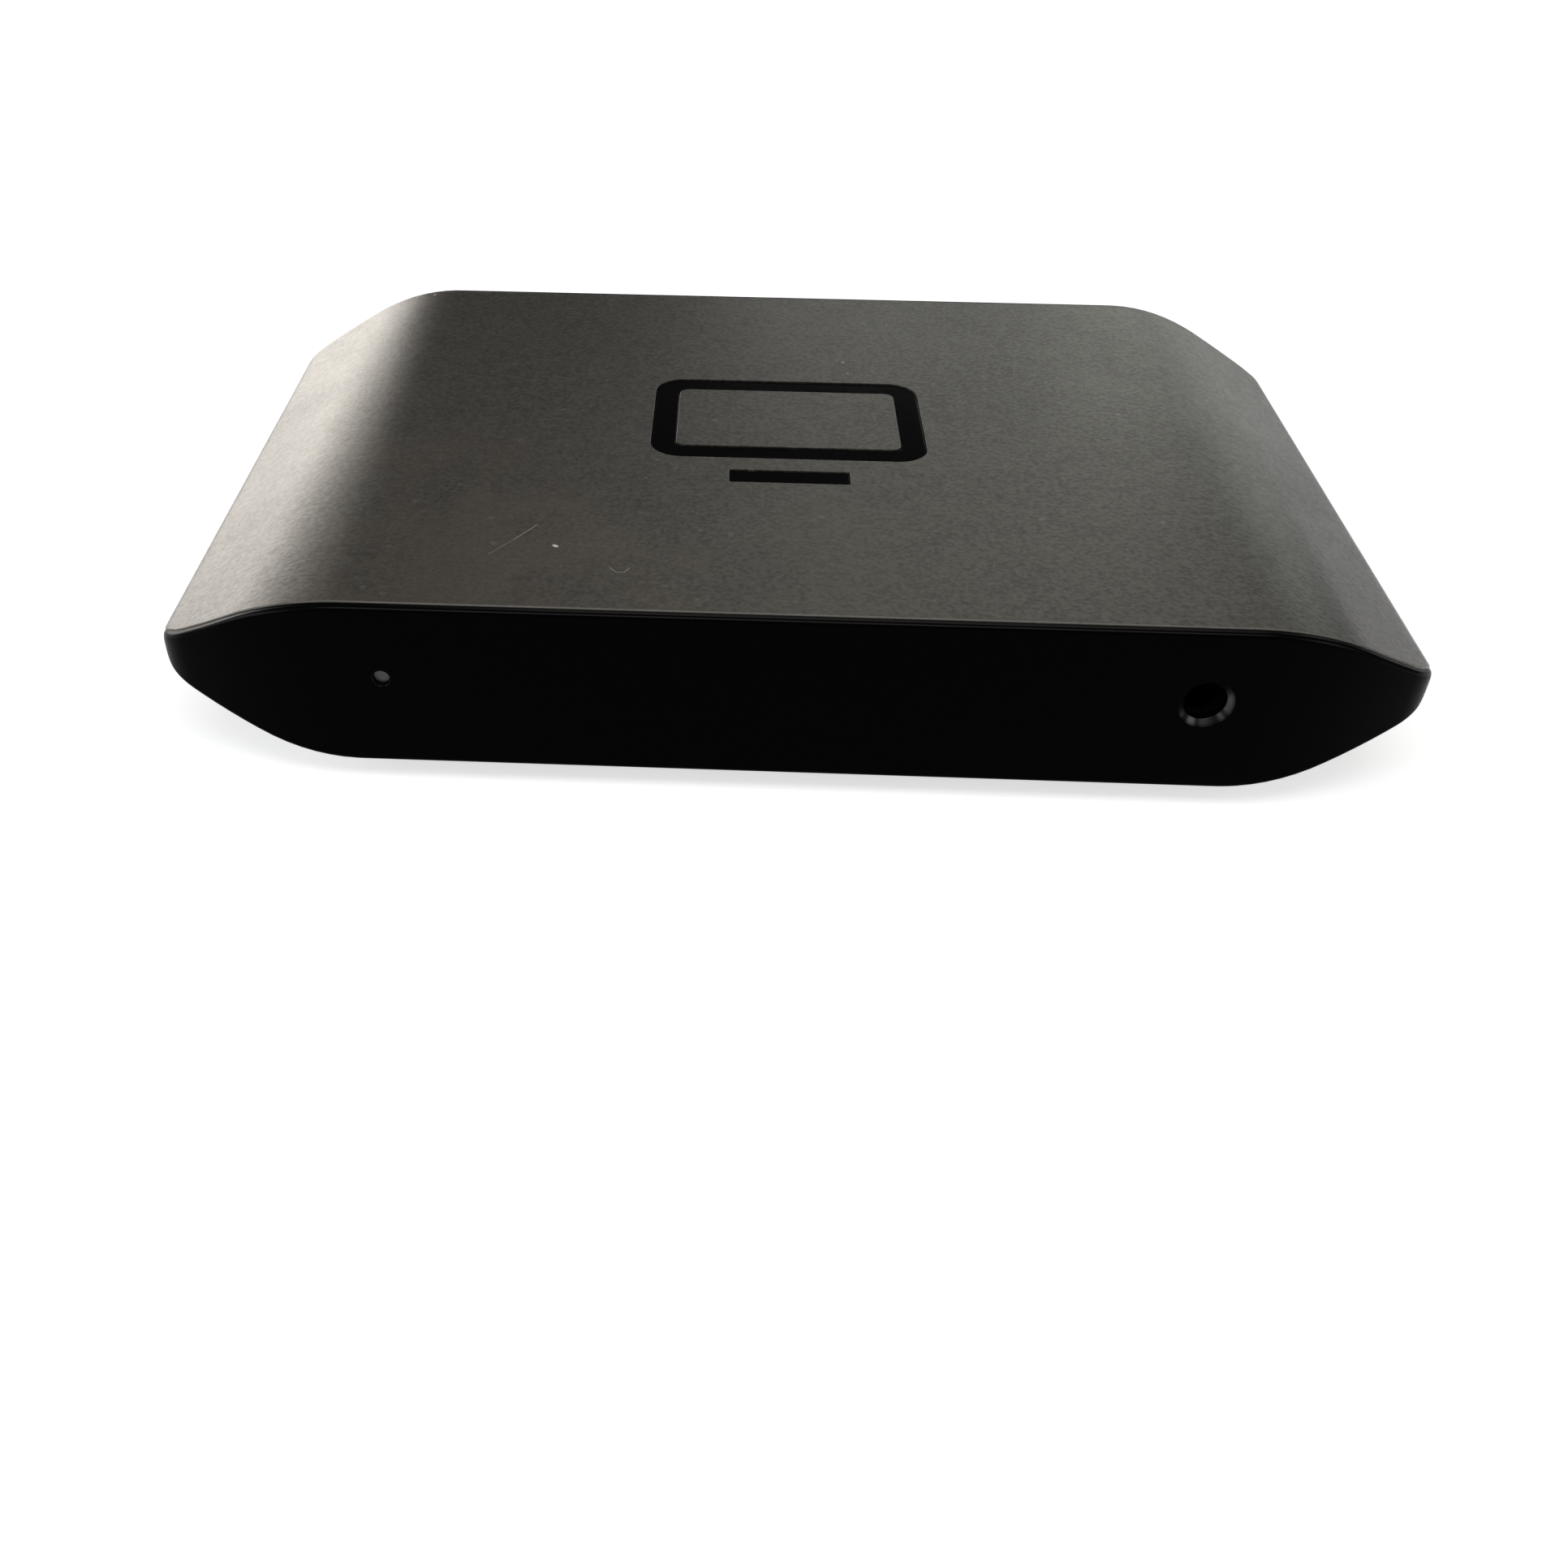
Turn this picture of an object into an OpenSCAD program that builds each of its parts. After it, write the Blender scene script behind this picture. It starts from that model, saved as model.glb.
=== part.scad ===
// Video capture box: a flat six-sided housing with swept corners, a capped front and rear,
// and the board with its sockets inside. Millimetres. The front faces -Y, +Z is up.
// The origin is on the floor, under the middle of the box.

/* [Body] */
// Overall width, side nose to side nose
body_w = 112; // [108:0.5:118]
// Overall depth, front panel face to rear panel face
body_d = 72; // [70:0.5:76]
// Height of the flat top above the side noses
top_rise = 8.1; // [8:0.1:9]
// Depth of the flat bottom below the side noses
bottom_drop = 7.9; // [7.8:0.1:8.8]
// Angle of the upper slopes to the horizontal
top_slope = 28; // [26.5:0.5:30]
// Angle of the lower slopes to the horizontal
bottom_slope = 25; // [23.5:0.5:26.5]
// Radius of the side noses
nose_r = 2.3; // [2.2:0.1:2.8]
// Radius between the flat top and the upper slopes
shoulder_r = 22; // [20:0.5:24]
// Radius between the flat bottom and the lower slopes
belly_r = 22; // [20:0.5:24]
// Wall thickness of the cover and the base
wall = 1.6; // [1.5:0.1:1.8]

/* [Plan corners] */
// Width of the corner that sweeps back, measured at the crossing of its tangents
corner_w = 10.2; // [9.8:0.1:10.8]
// Depth of the same corner
corner_d = 4.4; // [4.2:0.1:4.8]
// Radius of the tight end of the sweep; the long arc fills the rest of the corner
corner_r = 5.4; // [5:0.1:5.6]

/* [Panels] */
// Thickness of the panel rim that covers the housing ends
panel_lip = 0.8; // [0.7:0.1:1]
// Full thickness of a panel where it plugs into the housing
panel_t = 2.2; // [2:0.1:2.4]
// Set-in of the panel outline from the housing outline
panel_reveal = 0.2; // [0.15:0.05:0.3]
// Gap between a panel plug and the housing wall
plug_gap = 0.12; // [0.1:0.02:0.2]
// Distance of the snap hooks from the middle
hook_x = 22; // [21.5:0.5:24]
// Width of a snap hook
hook_w = 5; // [4:0.5:6]

/* [Front] */
// Distance of the lamp hole and the audio hole from the middle
front_hole_x = 35; // [34.8:0.1:36]
// Height of both holes above the side noses
front_hole_rise = 1; // [0.8:0.1:1.4]
// Diameter of the lamp hole
lamp_hole_d = 1.5; // [1.4:0.1:1.7]
// Diameter of the audio socket bore and of the panel hole in front of it
audio_bore_d = 3.6; // [3.55:0.05:3.7]
// Depth of the audio socket bore
audio_bore_l = 11; // [10:0.5:12]

/* [Rear sockets] */
// Distance between neighbouring rear sockets
port_pitch = 18.5; // [18:0.1:19]
// Width of the video socket opening
hdmi_w = 14; // [13.9:0.05:14.1]
// Height of the video socket opening
hdmi_h = 4.55; // [4.5:0.05:4.6]
// Length of the video socket shell
hdmi_l = 11.5; // [11:0.5:12]
// Width of the computer socket opening
usb_w = 8.34; // [8.3:0.02:8.4]
// Height of the computer socket opening
usb_h = 2.56; // [2.52:0.02:2.6]
// Length of the computer socket shell
usb_l = 8; // [7.5:0.5:8.5]

/* [Board] */
// Width of the circuit board
board_w = 86; // [84:1:88]
// Gap between the circuit board and the housing ends
board_gap = 3.5; // [3.2:0.1:4]
// Thickness of the circuit board
board_t = 1.6; // [1.2:0.1:1.6]
// Length of a side of the heat sink
sink_w = 26; // [22:1:27]
// Fins of the heat sink
sink_fins = 9; // [7:1:10]

/* [Feet and screws] */
// Stand-out of the feet under the base
foot_proud = 2; // [1.5:0.1:2.5]
// Diameter of a foot
foot_d = 10; // [9:0.5:11]
// Depth of the pocket that a foot sits in
foot_pocket = 0.4; // [0.3:0.1:0.6]
// Distance of the feet and case screws from the middle, across
foot_x = 29; // [28:0.5:29]
// Distance of the feet and case screws from the housing ends
foot_in = 12; // [11.5:0.5:13]

/* [Emblem] */
// Width of the screen sign on the cover
sign_w = 27; // [24:1:30]
// Height of the screen sign's frame
sign_h = 18; // [16:1:20]
// Width of its strokes
sign_stroke = 2.4; // [2:0.1:3]
// Depth of the pocket that it lies in
sign_pocket = 0.7; // [0.5:0.1:0.8]

/* [Hidden] */
$fn = 64;

// Levels, from the floor up
bottom_z = foot_proud;
nose_z = bottom_z + bottom_drop;
top_z = nose_z + top_rise;
floor_z = bottom_z + wall;
ceiling_z = top_z - wall;
root_z = bottom_z + wall / 2;
hole_z = nose_z + front_hole_rise;
jack_axis_h = 2.5;
board_top = hole_z - jack_axis_h;
board_z = board_top - board_t;
half_w = body_w / 2;
half_d = body_d / 2;
board_d = body_d - 2 * board_gap;
foot_y = half_d - foot_in;

// Clearances and overlaps
slack = 0.1;
seat = 0.05;
eps = 0.5;
bite = 0.002;
chord_in = 0.15;

// Section of the housing: line of each slope, tangent to the nose circle
nose_x = half_w - nose_r;
shoulder_x = nose_x + (nose_r - top_rise * cos(top_slope)) / sin(top_slope);
belly_x = nose_x + (nose_r - bottom_drop * cos(bottom_slope)) / sin(bottom_slope);
slope_sum = top_slope + bottom_slope;
tip_x = nose_x + nose_r * (cos(top_slope) + cos(bottom_slope)) / sin(slope_sum);
tip_z = nose_r * (sin(bottom_slope) - sin(top_slope)) / sin(slope_sum);
section_points = [
    [-belly_x, -bottom_drop], [belly_x, -bottom_drop], [tip_x, tip_z],
    [shoulder_x, top_rise], [-shoulder_x, top_rise], [-tip_x, tip_z]
];
section_radii = [belly_r, belly_r, nose_r, shoulder_r, shoulder_r, nose_r];

// Plan of the housing; its straight sides stay just outside the noses
side_clear = 0.05;
plan_x = half_w + side_clear;
sweep_turn = atan(corner_d / corner_w);
sweep_room = norm([corner_w, corner_d]) - corner_r * tan((90 - sweep_turn) / 2) - 0.1;
sweep_r = sweep_room / tan(sweep_turn / 2);
function plan_points(y) = [
    [-plan_x + corner_w, -y], [plan_x - corner_w, -y],
    [plan_x, -y + corner_d], [plan_x, y - corner_d],
    [plan_x - corner_w, y], [-plan_x + corner_w, y],
    [-plan_x, y - corner_d], [-plan_x, -y + corner_d]
];
plan_radii = [sweep_r, sweep_r, corner_r, corner_r, sweep_r, sweep_r, corner_r, corner_r];

// Screws and bosses
case_shank_r = 1.1;
case_head_r = 2;
case_head_h = 1.4;
case_boss_r = 2.8;
cover_boss_r = 2.6;
case_head_z = floor_z + 1.2;
case_tip_z = ceiling_z - 2.5;
boss_split_z = board_top + 1;
board_shank_r = 0.9;
board_head_r = 1.75;
board_head_h = 1.3;
pilot_z = floor_z + 0.4;
post_r = 2.6;
post_x = 38;
post_y = 9;
corners = [[-1, -1], [1, -1], [-1, 1], [1, 1]];

// Snap hooks
hook_t = 1;
hook_l = 5.2;
catch_h = 0.9;
catch_t = 0.9;
hook_drop = catch_h + 0.2;
barb_rise = 0.7;
barb_l = 1.2;

// Locating rib of the base
rib_t = 0.8;
rib_up = 0.8;
rib_x = nose_x - 0.5;
rib_in = 13;
rib_l = body_d - 2 * rib_in;

// Stiffening ribs under the cover
cover_rib_t = 1;
cover_rib_h = 1.2;
cover_rib_in = 8;
cover_rib_l = body_d - 2 * cover_rib_in;
cover_rib_x = [-36, -16, 14, 36];

// Rear sockets, seen from the front: computer socket left, video sockets middle and right
sheet = 0.3;
mouth_in = 0.4;
hdmi_z = board_top + 0.3 + sheet;
hdmi_side_h = 2.8;
hdmi_floor_w = 10.4;
hdmi_in_x = 0;
hdmi_out_x = port_pitch;
usb_x = -port_pitch;
usb_z = board_top + sheet + usb_h / 2 + 0.1;
hdmi_tongue_w = 10.9;
hdmi_tongue_t = 1.6;
hdmi_tongue_z = 1.55;
hdmi_tongue_in = 1.6;
hdmi_block_l = 3;
hdmi_pitch = 1;
usb_tongue_w = 6.7;
usb_tongue_t = 0.7;
usb_tongue_in = 1;
usb_block_l = 2.4;
usb_pitch = 0.5;
cut_gap = 0.25;
socket_points = [
    [-hdmi_floor_w / 2, 0], [hdmi_floor_w / 2, 0], [hdmi_w / 2, hdmi_h - hdmi_side_h],
    [hdmi_w / 2, hdmi_h], [-hdmi_w / 2, hdmi_h], [-hdmi_w / 2, hdmi_h - hdmi_side_h]
];
finger_x = 3.4;
finger_w = 1.6;
finger_l = 5;
finger_slot = 0.35;
finger_in = 1.5;
leg_w = 1;
leg_t = sheet;
leg_down = 0.8;
leg_y = [3.5, 8.5];

// Audio socket
audio_bevel = 0.55;
bore_bevel = 0.2;
nose_d = 4.6;
jack_w = 5.6;
jack_h = 5;
jack_l = 11.6;
jack_nose_in = 1.2;
jack_nose_l = panel_t + 0.5 - jack_nose_in;
jack_front = -half_d + jack_nose_in;
jack_body_y = jack_front + jack_nose_l;
spring_t = 0.25;
spring_w = 1.1;
spring_l = 4;

// Light pipe and lamp
pipe_r = lamp_hole_d / 2 - 0.08;
pipe_in = 0.5;
pipe_leg_y = -half_d + 6.2;
pipe_leg_r = 1.1;
led_h = 0.7;
collar_r = 1.5;

// Processor, its pad and its heat sink
processor_at = [-1, -7];
processor_size = [17, 17, 1.3];
pad_t = 0.6;
pad_in = 0.5;
sink_base_t = 1.3;
sink_h = 4.6;
fin_t = 1;
sink_notch = 2;

// Other chips: place on the board, then width, depth and height
memory_at = [[-22, -12], [-22, 2]];
memory_size = [9, 11, 1];
receiver_in = 21.4;
receiver_at = [hdmi_out_x / 2, half_d - receiver_in];
receiver_size = [8, 8, 0.9];
controller_in = 19;
controller_right = 2.5;
controller_at = [usb_x + controller_right, half_d - controller_in];
controller_size = [8, 8, 0.9];
flash_at = [20, -10];
flash_size = [5, 4, 1.5];
codec_at = [29, -12];
codec_size = [5, 5, 0.85];
regulator_at = [[-36, 24], [-35, 2], [22, 14]];
regulator_size = [3, 3, 0.9];
guard_x = 3.5;
guard_in = 4.2;
guard_y = half_d - hdmi_l - guard_in;
guard_size = [2.5, 1.2, 0.5];
chip_lift = 0.1;

// Small parts: places on the board, and the sizes of foot and top
crystal_at = [[-9, 13], [20, -3]];
crystal_foot = [3.2, 2.5, 0.5];
crystal_lid = [2.8, 2.1, 0.75];
inductor_at = [[-36, 18], [-29, 6], [22, 8]];
inductor_foot = [4.4, 4.2, 1.6];
inductor_top = [3.8, 3.6, 2];
can_at = [[-38, -20], [-29, 11.5], [29, 6], [29, 13]];
can_foot = [5.3, 5.3, 0.6];
can_r = 2.5;
can_h = 5.4;
ceramic_size = [1.6, 0.8, 0.8];
ceramic_pitch = 3.2;
ceramic_count = 8;
ceramic_y = processor_size[1] / 2 + 2;

function unit(v) = v / norm(v);
function inward(a, b) = let (u = unit(b - a)) [-u[1], u[0]];
function before(p, i) = p[(i + len(p) - 1) % len(p)];
function after(p, i) = p[(i + 1) % len(p)];
// Convex outline moved inward by d; each corner slides along its bisector
function inset_points(p, d) = [
    for (i = [0 : len(p) - 1])
        let (n1 = inward(before(p, i), p[i]), n2 = inward(p[i], after(p, i)))
            p[i] + d * (n1 + n2) / (1 + n1 * n2)
];
function half_turn(p, i) = acos(unit(before(p, i) - p[i]) * unit(after(p, i) - p[i])) / 2;
function tangent_len(p, r, i) = r[i] / tan(half_turn(p, i));
function corner_axis(p, i) = unit(unit(before(p, i) - p[i]) + unit(after(p, i) - p[i]));

// Outline with each corner rounded by a true arc of its own radius
module rounded_outline(p, r) {
    ends = [
        for (i = [0 : len(p) - 1])
            let (t = tangent_len(p, r, i))
                each [p[i] + t * unit(before(p, i) - p[i]), p[i] + t * unit(after(p, i) - p[i])]
    ];
    polygon(ends);
    for (i = [0 : len(p) - 1]) {
        a = half_turn(p, i);
        axis = corner_axis(p, i);
        center = p[i] + axis * r[i] / sin(a);
        reach = r[i] * sin(a) - chord_in;
        intersection() {
            translate(center) circle(r[i] + bite);
            translate(center)
                rotate(atan2(-axis[1], -axis[0]))
                    translate([reach, -r[i] - 1])
                        square([r[i] + 1, 2 * r[i] + 2]);
        }
    }
}

module section(inset) {
    translate([0, nose_z])
        rounded_outline(inset_points(section_points, inset), [for (r = section_radii) r - inset]);
}

// Stands a drawing up and runs it from y0 to y1
module along_y(y0, y1) {
    translate([0, y1, 0]) rotate([90, 0, 0]) linear_extrude(y1 - y0) children();
}

module section_bar(inset) {
    along_y(-half_d - 1, half_d + 1) section(inset);
}

// Plan block whose front and rear outlines lie back by the given depth
module plan_bar(back) {
    translate([0, 0, bottom_z - 1])
        linear_extrude(top_z - bottom_z + 2) rounded_outline(plan_points(half_d - back), plan_radii);
}

module box_at(c, size) {
    translate([c[0] - size[0] / 2, c[1] - size[1] / 2, c[2]]) cube(size);
}

module at_corners(x, y) {
    for (c = corners) translate([c[0] * x, c[1] * y, 0]) children();
}

// Catch that a snap hook grips, on both ends and both sides
module catches(z) {
    for (s = [-1, 1], e = [-1, 1])
        box_at(
            [s * hook_x, e * (half_d - panel_t - hook_l + barb_l + catch_t / 2 + slack), z],
            [hook_w + 2, catch_t, catch_h + wall / 2]
        );
}

module sign_outline(grow) {
    frame_y = sign_stroke;
    difference() {
        sign_plate(sign_w + 2 * grow, sign_h + 2 * grow, 3 + grow, frame_y);
        sign_plate(sign_w - 2 * (sign_stroke + grow), sign_h - 2 * (sign_stroke + grow), 1, frame_y);
    }
    translate([0, frame_y - sign_h / 2 - 1.6 * sign_stroke])
        square([sign_w * 0.42 + 2 * grow, sign_stroke + 2 * grow], center = true);
}

module sign_plate(w, h, r, y) {
    translate([0, y]) {
        square([w - 2 * r, h], center = true);
        square([w, h - 2 * r], center = true);
        for (c = corners) translate([c[0] * (w / 2 - r), c[1] * (h / 2 - r)]) circle(r);
    }
}

// Upper half of the housing, open at both ends
module top_cover() {
    color([0.27, 0.26, 0.24])
    difference() {
        intersection() {
            section_bar(0);
            plan_bar(panel_lip);
            translate([-half_w - 5, -half_d, nose_z]) cube([body_w + 10, body_d, top_rise + 5]);
            union() {
                difference() {
                    translate([-half_w - 5, -half_d, bottom_z]) cube([body_w + 10, body_d, top_z]);
                    section_bar(wall);
                }
                at_corners(foot_x, foot_y)
                    translate([0, 0, boss_split_z]) cylinder(r = cover_boss_r, h = top_rise + 5);
                catches(ceiling_z - catch_h);
                for (x = cover_rib_x)
                    box_at(
                        [x, 0, ceiling_z - cover_rib_h],
                        [cover_rib_t, cover_rib_l, cover_rib_h + wall / 2]
                    );
            }
        }
        at_corners(foot_x, foot_y)
            translate([0, 0, boss_split_z - eps])
                cylinder(r = case_shank_r + seat, h = case_tip_z + 0.4 - boss_split_z + eps);
        translate([0, 0, top_z - sign_pocket]) linear_extrude(sign_pocket + 1) sign_outline(seat);
    }
}

// Lower half of the housing with posts, bosses and the foot pockets
module base_cover() {
    color([0.09, 0.09, 0.1])
    difference() {
        union() {
            difference() {
                intersection() {
                    section_bar(0);
                    plan_bar(panel_lip);
                    translate([-half_w - 5, -half_d, 0]) cube([body_w + 10, body_d, nose_z]);
                }
                section_bar(wall);
            }
            at_corners(foot_x, foot_y)
                translate([0, 0, root_z]) cylinder(r = case_boss_r, h = boss_split_z - root_z);
            at_corners(post_x, post_y)
                translate([0, 0, root_z]) cylinder(r = post_r, h = board_z - root_z);
            catches(root_z);
            for (s = [-1, 1])
                box_at([s * (rib_x - rib_t / 2), 0, nose_z - 1.9], [rib_t, rib_l, 1.9 + rib_up]);
        }
        at_corners(foot_x, foot_y) {
            translate([0, 0, bottom_z - 1]) cylinder(d = foot_d + 2 * seat, h = foot_pocket + 1);
            cylinder(r = case_head_r + 2 * slack, h = case_head_z);
            cylinder(r = case_shank_r + slack, h = boss_split_z + 1);
        }
        at_corners(post_x, post_y)
            translate([0, 0, pilot_z]) cylinder(r = board_shank_r + seat, h = board_z);
    }
}

// Cap of one housing end: rim, plug and snap hooks; drawn for the front
module panel_blank() {
    difference() {
        intersection() {
            section_bar(panel_reveal);
            plan_bar(0);
            translate([-half_w - 5, -half_d - 5, 0]) cube([body_w + 10, half_d, top_z + 5]);
        }
        plan_bar(panel_lip);
    }
    difference() {
        intersection() {
            section_bar(wall + plug_gap);
            plan_bar(panel_lip / 2);
            translate([-half_w - 5, -half_d - 5, 0]) cube([body_w + 10, half_d, top_z + 5]);
        }
        plan_bar(panel_t);
    }
    for (s = [-1, 1]) {
        hook(s * hook_x, ceiling_z - hook_drop - hook_t, ceiling_z - hook_drop);
        hook(s * hook_x, floor_z + hook_drop, floor_z + hook_drop - barb_rise);
    }
}

// One snap hook: an arm with a ramped barb at its end
module hook(x, arm_z, barb_z) {
    y0 = -half_d + panel_lip;
    y1 = -half_d + panel_t + hook_l;
    up = barb_z > arm_z;
    translate([x - hook_w / 2, 0, 0])
        rotate([90, 0, 90])
            linear_extrude(hook_w) {
                translate([y0, arm_z]) square([y1 - y0, hook_t]);
                if (up)
                    polygon([
                        [y1 - barb_l, arm_z + hook_t / 2], [y1, arm_z + hook_t / 2],
                        [y1, arm_z + hook_t + 0.1], [y1 - barb_l, arm_z + hook_t + barb_rise]
                    ]);
                else
                    polygon([
                        [y1 - barb_l, arm_z + hook_t / 2], [y1 - barb_l, arm_z - barb_rise],
                        [y1, arm_z - 0.1], [y1, arm_z + hook_t / 2]
                    ]);
            }
}

module front_panel() {
    color([0.06, 0.06, 0.07])
    difference() {
        union() {
            panel_blank();
            translate([-front_hole_x, 0, hole_z])
                rotate([90, 0, 0])
                    translate([0, 0, half_d - panel_t - 1.6]) cylinder(r = 2.3, h = 2.4);
        }
        translate([-front_hole_x, 0, hole_z])
            rotate([90, 0, 0]) cylinder(d = lamp_hole_d, h = half_d + 1);
        translate([-front_hole_x, -half_d + panel_t + 0.4, hole_z])
            rotate([-90, 0, 0]) cylinder(r = collar_r + seat, h = 3);
        translate([front_hole_x, 0, hole_z]) rotate([90, 0, 0]) {
            cylinder(d = audio_bore_d, h = half_d + 1);
            cylinder(d = nose_d + 2 * slack, h = half_d - jack_nose_in + slack);
            translate([0, 0, half_d - audio_bevel])
                cylinder(d1 = audio_bore_d, d2 = audio_bore_d + 4 * audio_bevel, h = 2 * audio_bevel);
        }
    }
}

module rear_panel() {
    color([0.06, 0.06, 0.07])
    difference() {
        rotate(180) panel_blank();
        for (x = [hdmi_in_x, hdmi_out_x])
            translate([x, 0, hdmi_z])
                along_y(half_d - 4, half_d + 1) polygon(inset_points(socket_points, -sheet - cut_gap));
        translate([usb_x, 0, usb_z]) along_y(half_d - 4, half_d + 1) usb_outline(sheet + cut_gap);
    }
}

module emblem_inlay() {
    color([0.02, 0.02, 0.03])
    translate([0, 0, top_z - sign_pocket]) linear_extrude(sign_pocket - 0.15) sign_outline(0);
}

// Rubber foot with a rounded lower edge
module foot(sx, sy) {
    edge = 0.7;
    r = foot_d / 2;
    color([0.12, 0.12, 0.12])
    translate([sx * foot_x, sy * foot_y, 0])
        rotate_extrude() {
            translate([0, edge]) square([r, foot_proud + foot_pocket - edge]);
            square([r - edge, edge + eps]);
            intersection() {
                translate([r - edge, edge]) circle(edge);
                square([r, 2 * edge]);
            }
        }
}

module foot_front_left() {
    foot(-1, -1);
}

module foot_front_right() {
    foot(1, -1);
}

module foot_rear_left() {
    foot(-1, 1);
}

module foot_rear_right() {
    foot(1, 1);
}

// Cross-slotted screw: the head rests on z = 0, the shank points up
module screw(head_r, head_h, shank_r, shank_l) {
    difference() {
        union() {
            translate([0, 0, -head_h]) cylinder(r = head_r, h = head_h);
            cylinder(r = shank_r, h = shank_l);
            translate([0, 0, shank_l]) cylinder(r1 = shank_r, r2 = shank_r / 2, h = shank_r);
        }
        for (a = [0, 90]) rotate(a) box_at([0, 0, -head_h - 1], [0.5, head_r * 1.2, 1 + head_h * 0.6]);
    }
}

module case_screws() {
    color([0.55, 0.55, 0.57])
    at_corners(foot_x, foot_y)
        translate([0, 0, case_head_z])
            screw(case_head_r, case_head_h, case_shank_r, case_tip_z - case_shank_r - case_head_z);
}

module board_screws() {
    color([0.6, 0.6, 0.62])
    at_corners(post_x, post_y)
        translate([0, 0, board_top])
            mirror([0, 0, 1])
                screw(board_head_r, board_head_h, board_shank_r, board_top - pilot_z - 2 * board_shank_r);
}

module circuit_board() {
    color([0.06, 0.2, 0.12])
    difference() {
        box_at([0, 0, board_z], [board_w, board_d, board_t]);
        translate([0, 0, board_z - 1]) {
            at_corners(foot_x, foot_y) cylinder(r = case_boss_r + 0.4, h = board_t + 2);
            at_corners(post_x, post_y) cylinder(r = board_shank_r + 0.2, h = board_t + 2);
        }
        for (x = [hdmi_in_x, hdmi_out_x], s = [-1, 1], y = leg_y)
            box_at(
                [x + s * (hdmi_w + sheet) / 2, half_d - mouth_in - y, board_z - 1],
                [leg_t + 0.3, leg_w + 0.3, board_t + 2]
            );
        for (s = [-1, 1])
            box_at(
                [usb_x + s * (usb_w + sheet) / 2, half_d - mouth_in - leg_y[0] - 1, board_z - 1],
                [leg_t + 0.3, leg_w + 0.3, board_t + 2]
            );
    }
}

// Sheet-metal shell of a video socket with its board legs
module hdmi_shell(x) {
    y1 = half_d - mouth_in;
    color([0.72, 0.73, 0.74])
    translate([x, 0, hdmi_z]) {
        difference() {
            along_y(y1 - hdmi_l, y1)
                difference() {
                    polygon(inset_points(socket_points, -sheet));
                    polygon(socket_points);
                }
            for (s = [-1, 1])
                translate([s * finger_x, y1 - finger_in, hdmi_h - sheet])
                    difference() {
                        box_at([0, -finger_l / 2, 0], [finger_w + 2 * finger_slot, finger_l, 3 * sheet]);
                        box_at([0, -finger_l / 2 - finger_slot, -1], [finger_w, finger_l, 3]);
                    }
        }
        for (s = [-1, 1], y = leg_y)
            box_at(
                [s * (hdmi_w + sheet) / 2, y1 - y, board_z - leg_down - hdmi_z],
                [leg_t, leg_w, hdmi_z - board_z + leg_down + hdmi_h / 2 + 0.4]
            );
    }
}

// Insulator of a video socket: rear block and the tongue that carries the contacts
module hdmi_tongue(x) {
    y1 = half_d - mouth_in;
    y0 = y1 - hdmi_l;
    color([0.08, 0.08, 0.08])
    translate([x, 0, hdmi_z])
        difference() {
            union() {
                along_y(y0, y0 + hdmi_block_l) polygon(inset_points(socket_points, slack));
                box_at(
                    [0, (y0 + y1 - hdmi_tongue_in) / 2, hdmi_tongue_z],
                    [hdmi_tongue_w, y1 - hdmi_tongue_in - y0, hdmi_tongue_t]
                );
            }
            for (z = [hdmi_tongue_z + hdmi_tongue_t, hdmi_tongue_z - 0.3])
                box_at([0, y0 + hdmi_block_l / 2, z], [hdmi_tongue_w - 0.4, hdmi_block_l + 1, 0.3]);
        }
}

// One row of contact strips: over the tongue, through the block and down to the board
module contact_row(count, pitch, w, t, y_tip, y_back, z, board_h) {
    for (i = [0 : count - 1])
        translate([(i - (count - 1) / 2) * pitch, 0, 0]) {
            box_at([0, (y_tip + y_back) / 2, z], [w, y_tip - y_back, t]);
            box_at([0, y_back + t / 2, board_h], [w, t, z - board_h + t]);
            box_at([0, y_back - 0.25, board_h], [w, 0.5 + 2 * t, t]);
        }
}

module hdmi_contacts(x) {
    y0 = half_d - mouth_in - hdmi_l;
    tip = half_d - mouth_in - hdmi_tongue_in - 0.5;
    low = board_top - hdmi_z;
    t = 0.15;
    color([0.83, 0.68, 0.36])
    translate([x, 0, hdmi_z]) {
        contact_row(10, hdmi_pitch, 0.4, t, tip, y0 - 1.1, hdmi_tongue_z + hdmi_tongue_t, low);
        contact_row(9, hdmi_pitch, 0.4, t, tip, y0 - 0.4, hdmi_tongue_z - t, low);
    }
}

module hdmi_in_shell() {
    hdmi_shell(hdmi_in_x);
}

module hdmi_in_tongue() {
    hdmi_tongue(hdmi_in_x);
}

module hdmi_in_contacts() {
    hdmi_contacts(hdmi_in_x);
}

module hdmi_out_shell() {
    hdmi_shell(hdmi_out_x);
}

module hdmi_out_tongue() {
    hdmi_tongue(hdmi_out_x);
}

module hdmi_out_contacts() {
    hdmi_contacts(hdmi_out_x);
}

// Rounded slot of the computer socket, grown on all sides
module usb_outline(grow) {
    h = usb_h + 2 * grow;
    w = usb_w + 2 * grow;
    square([w - h, h], center = true);
    for (s = [-1, 1]) translate([s * (w - h) / 2, 0]) circle(d = h);
}

module usb_c_shell() {
    y1 = half_d - mouth_in;
    color([0.72, 0.73, 0.74])
    translate([usb_x, 0, usb_z]) {
        along_y(y1 - usb_l, y1)
            difference() {
                usb_outline(sheet);
                usb_outline(0);
            }
        for (s = [-1, 1])
            box_at(
                [s * (usb_w + sheet) / 2, y1 - leg_y[0] - 1, board_z - leg_down - usb_z],
                [leg_t, leg_w, usb_z - board_z + leg_down]
            );
    }
}

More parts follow.
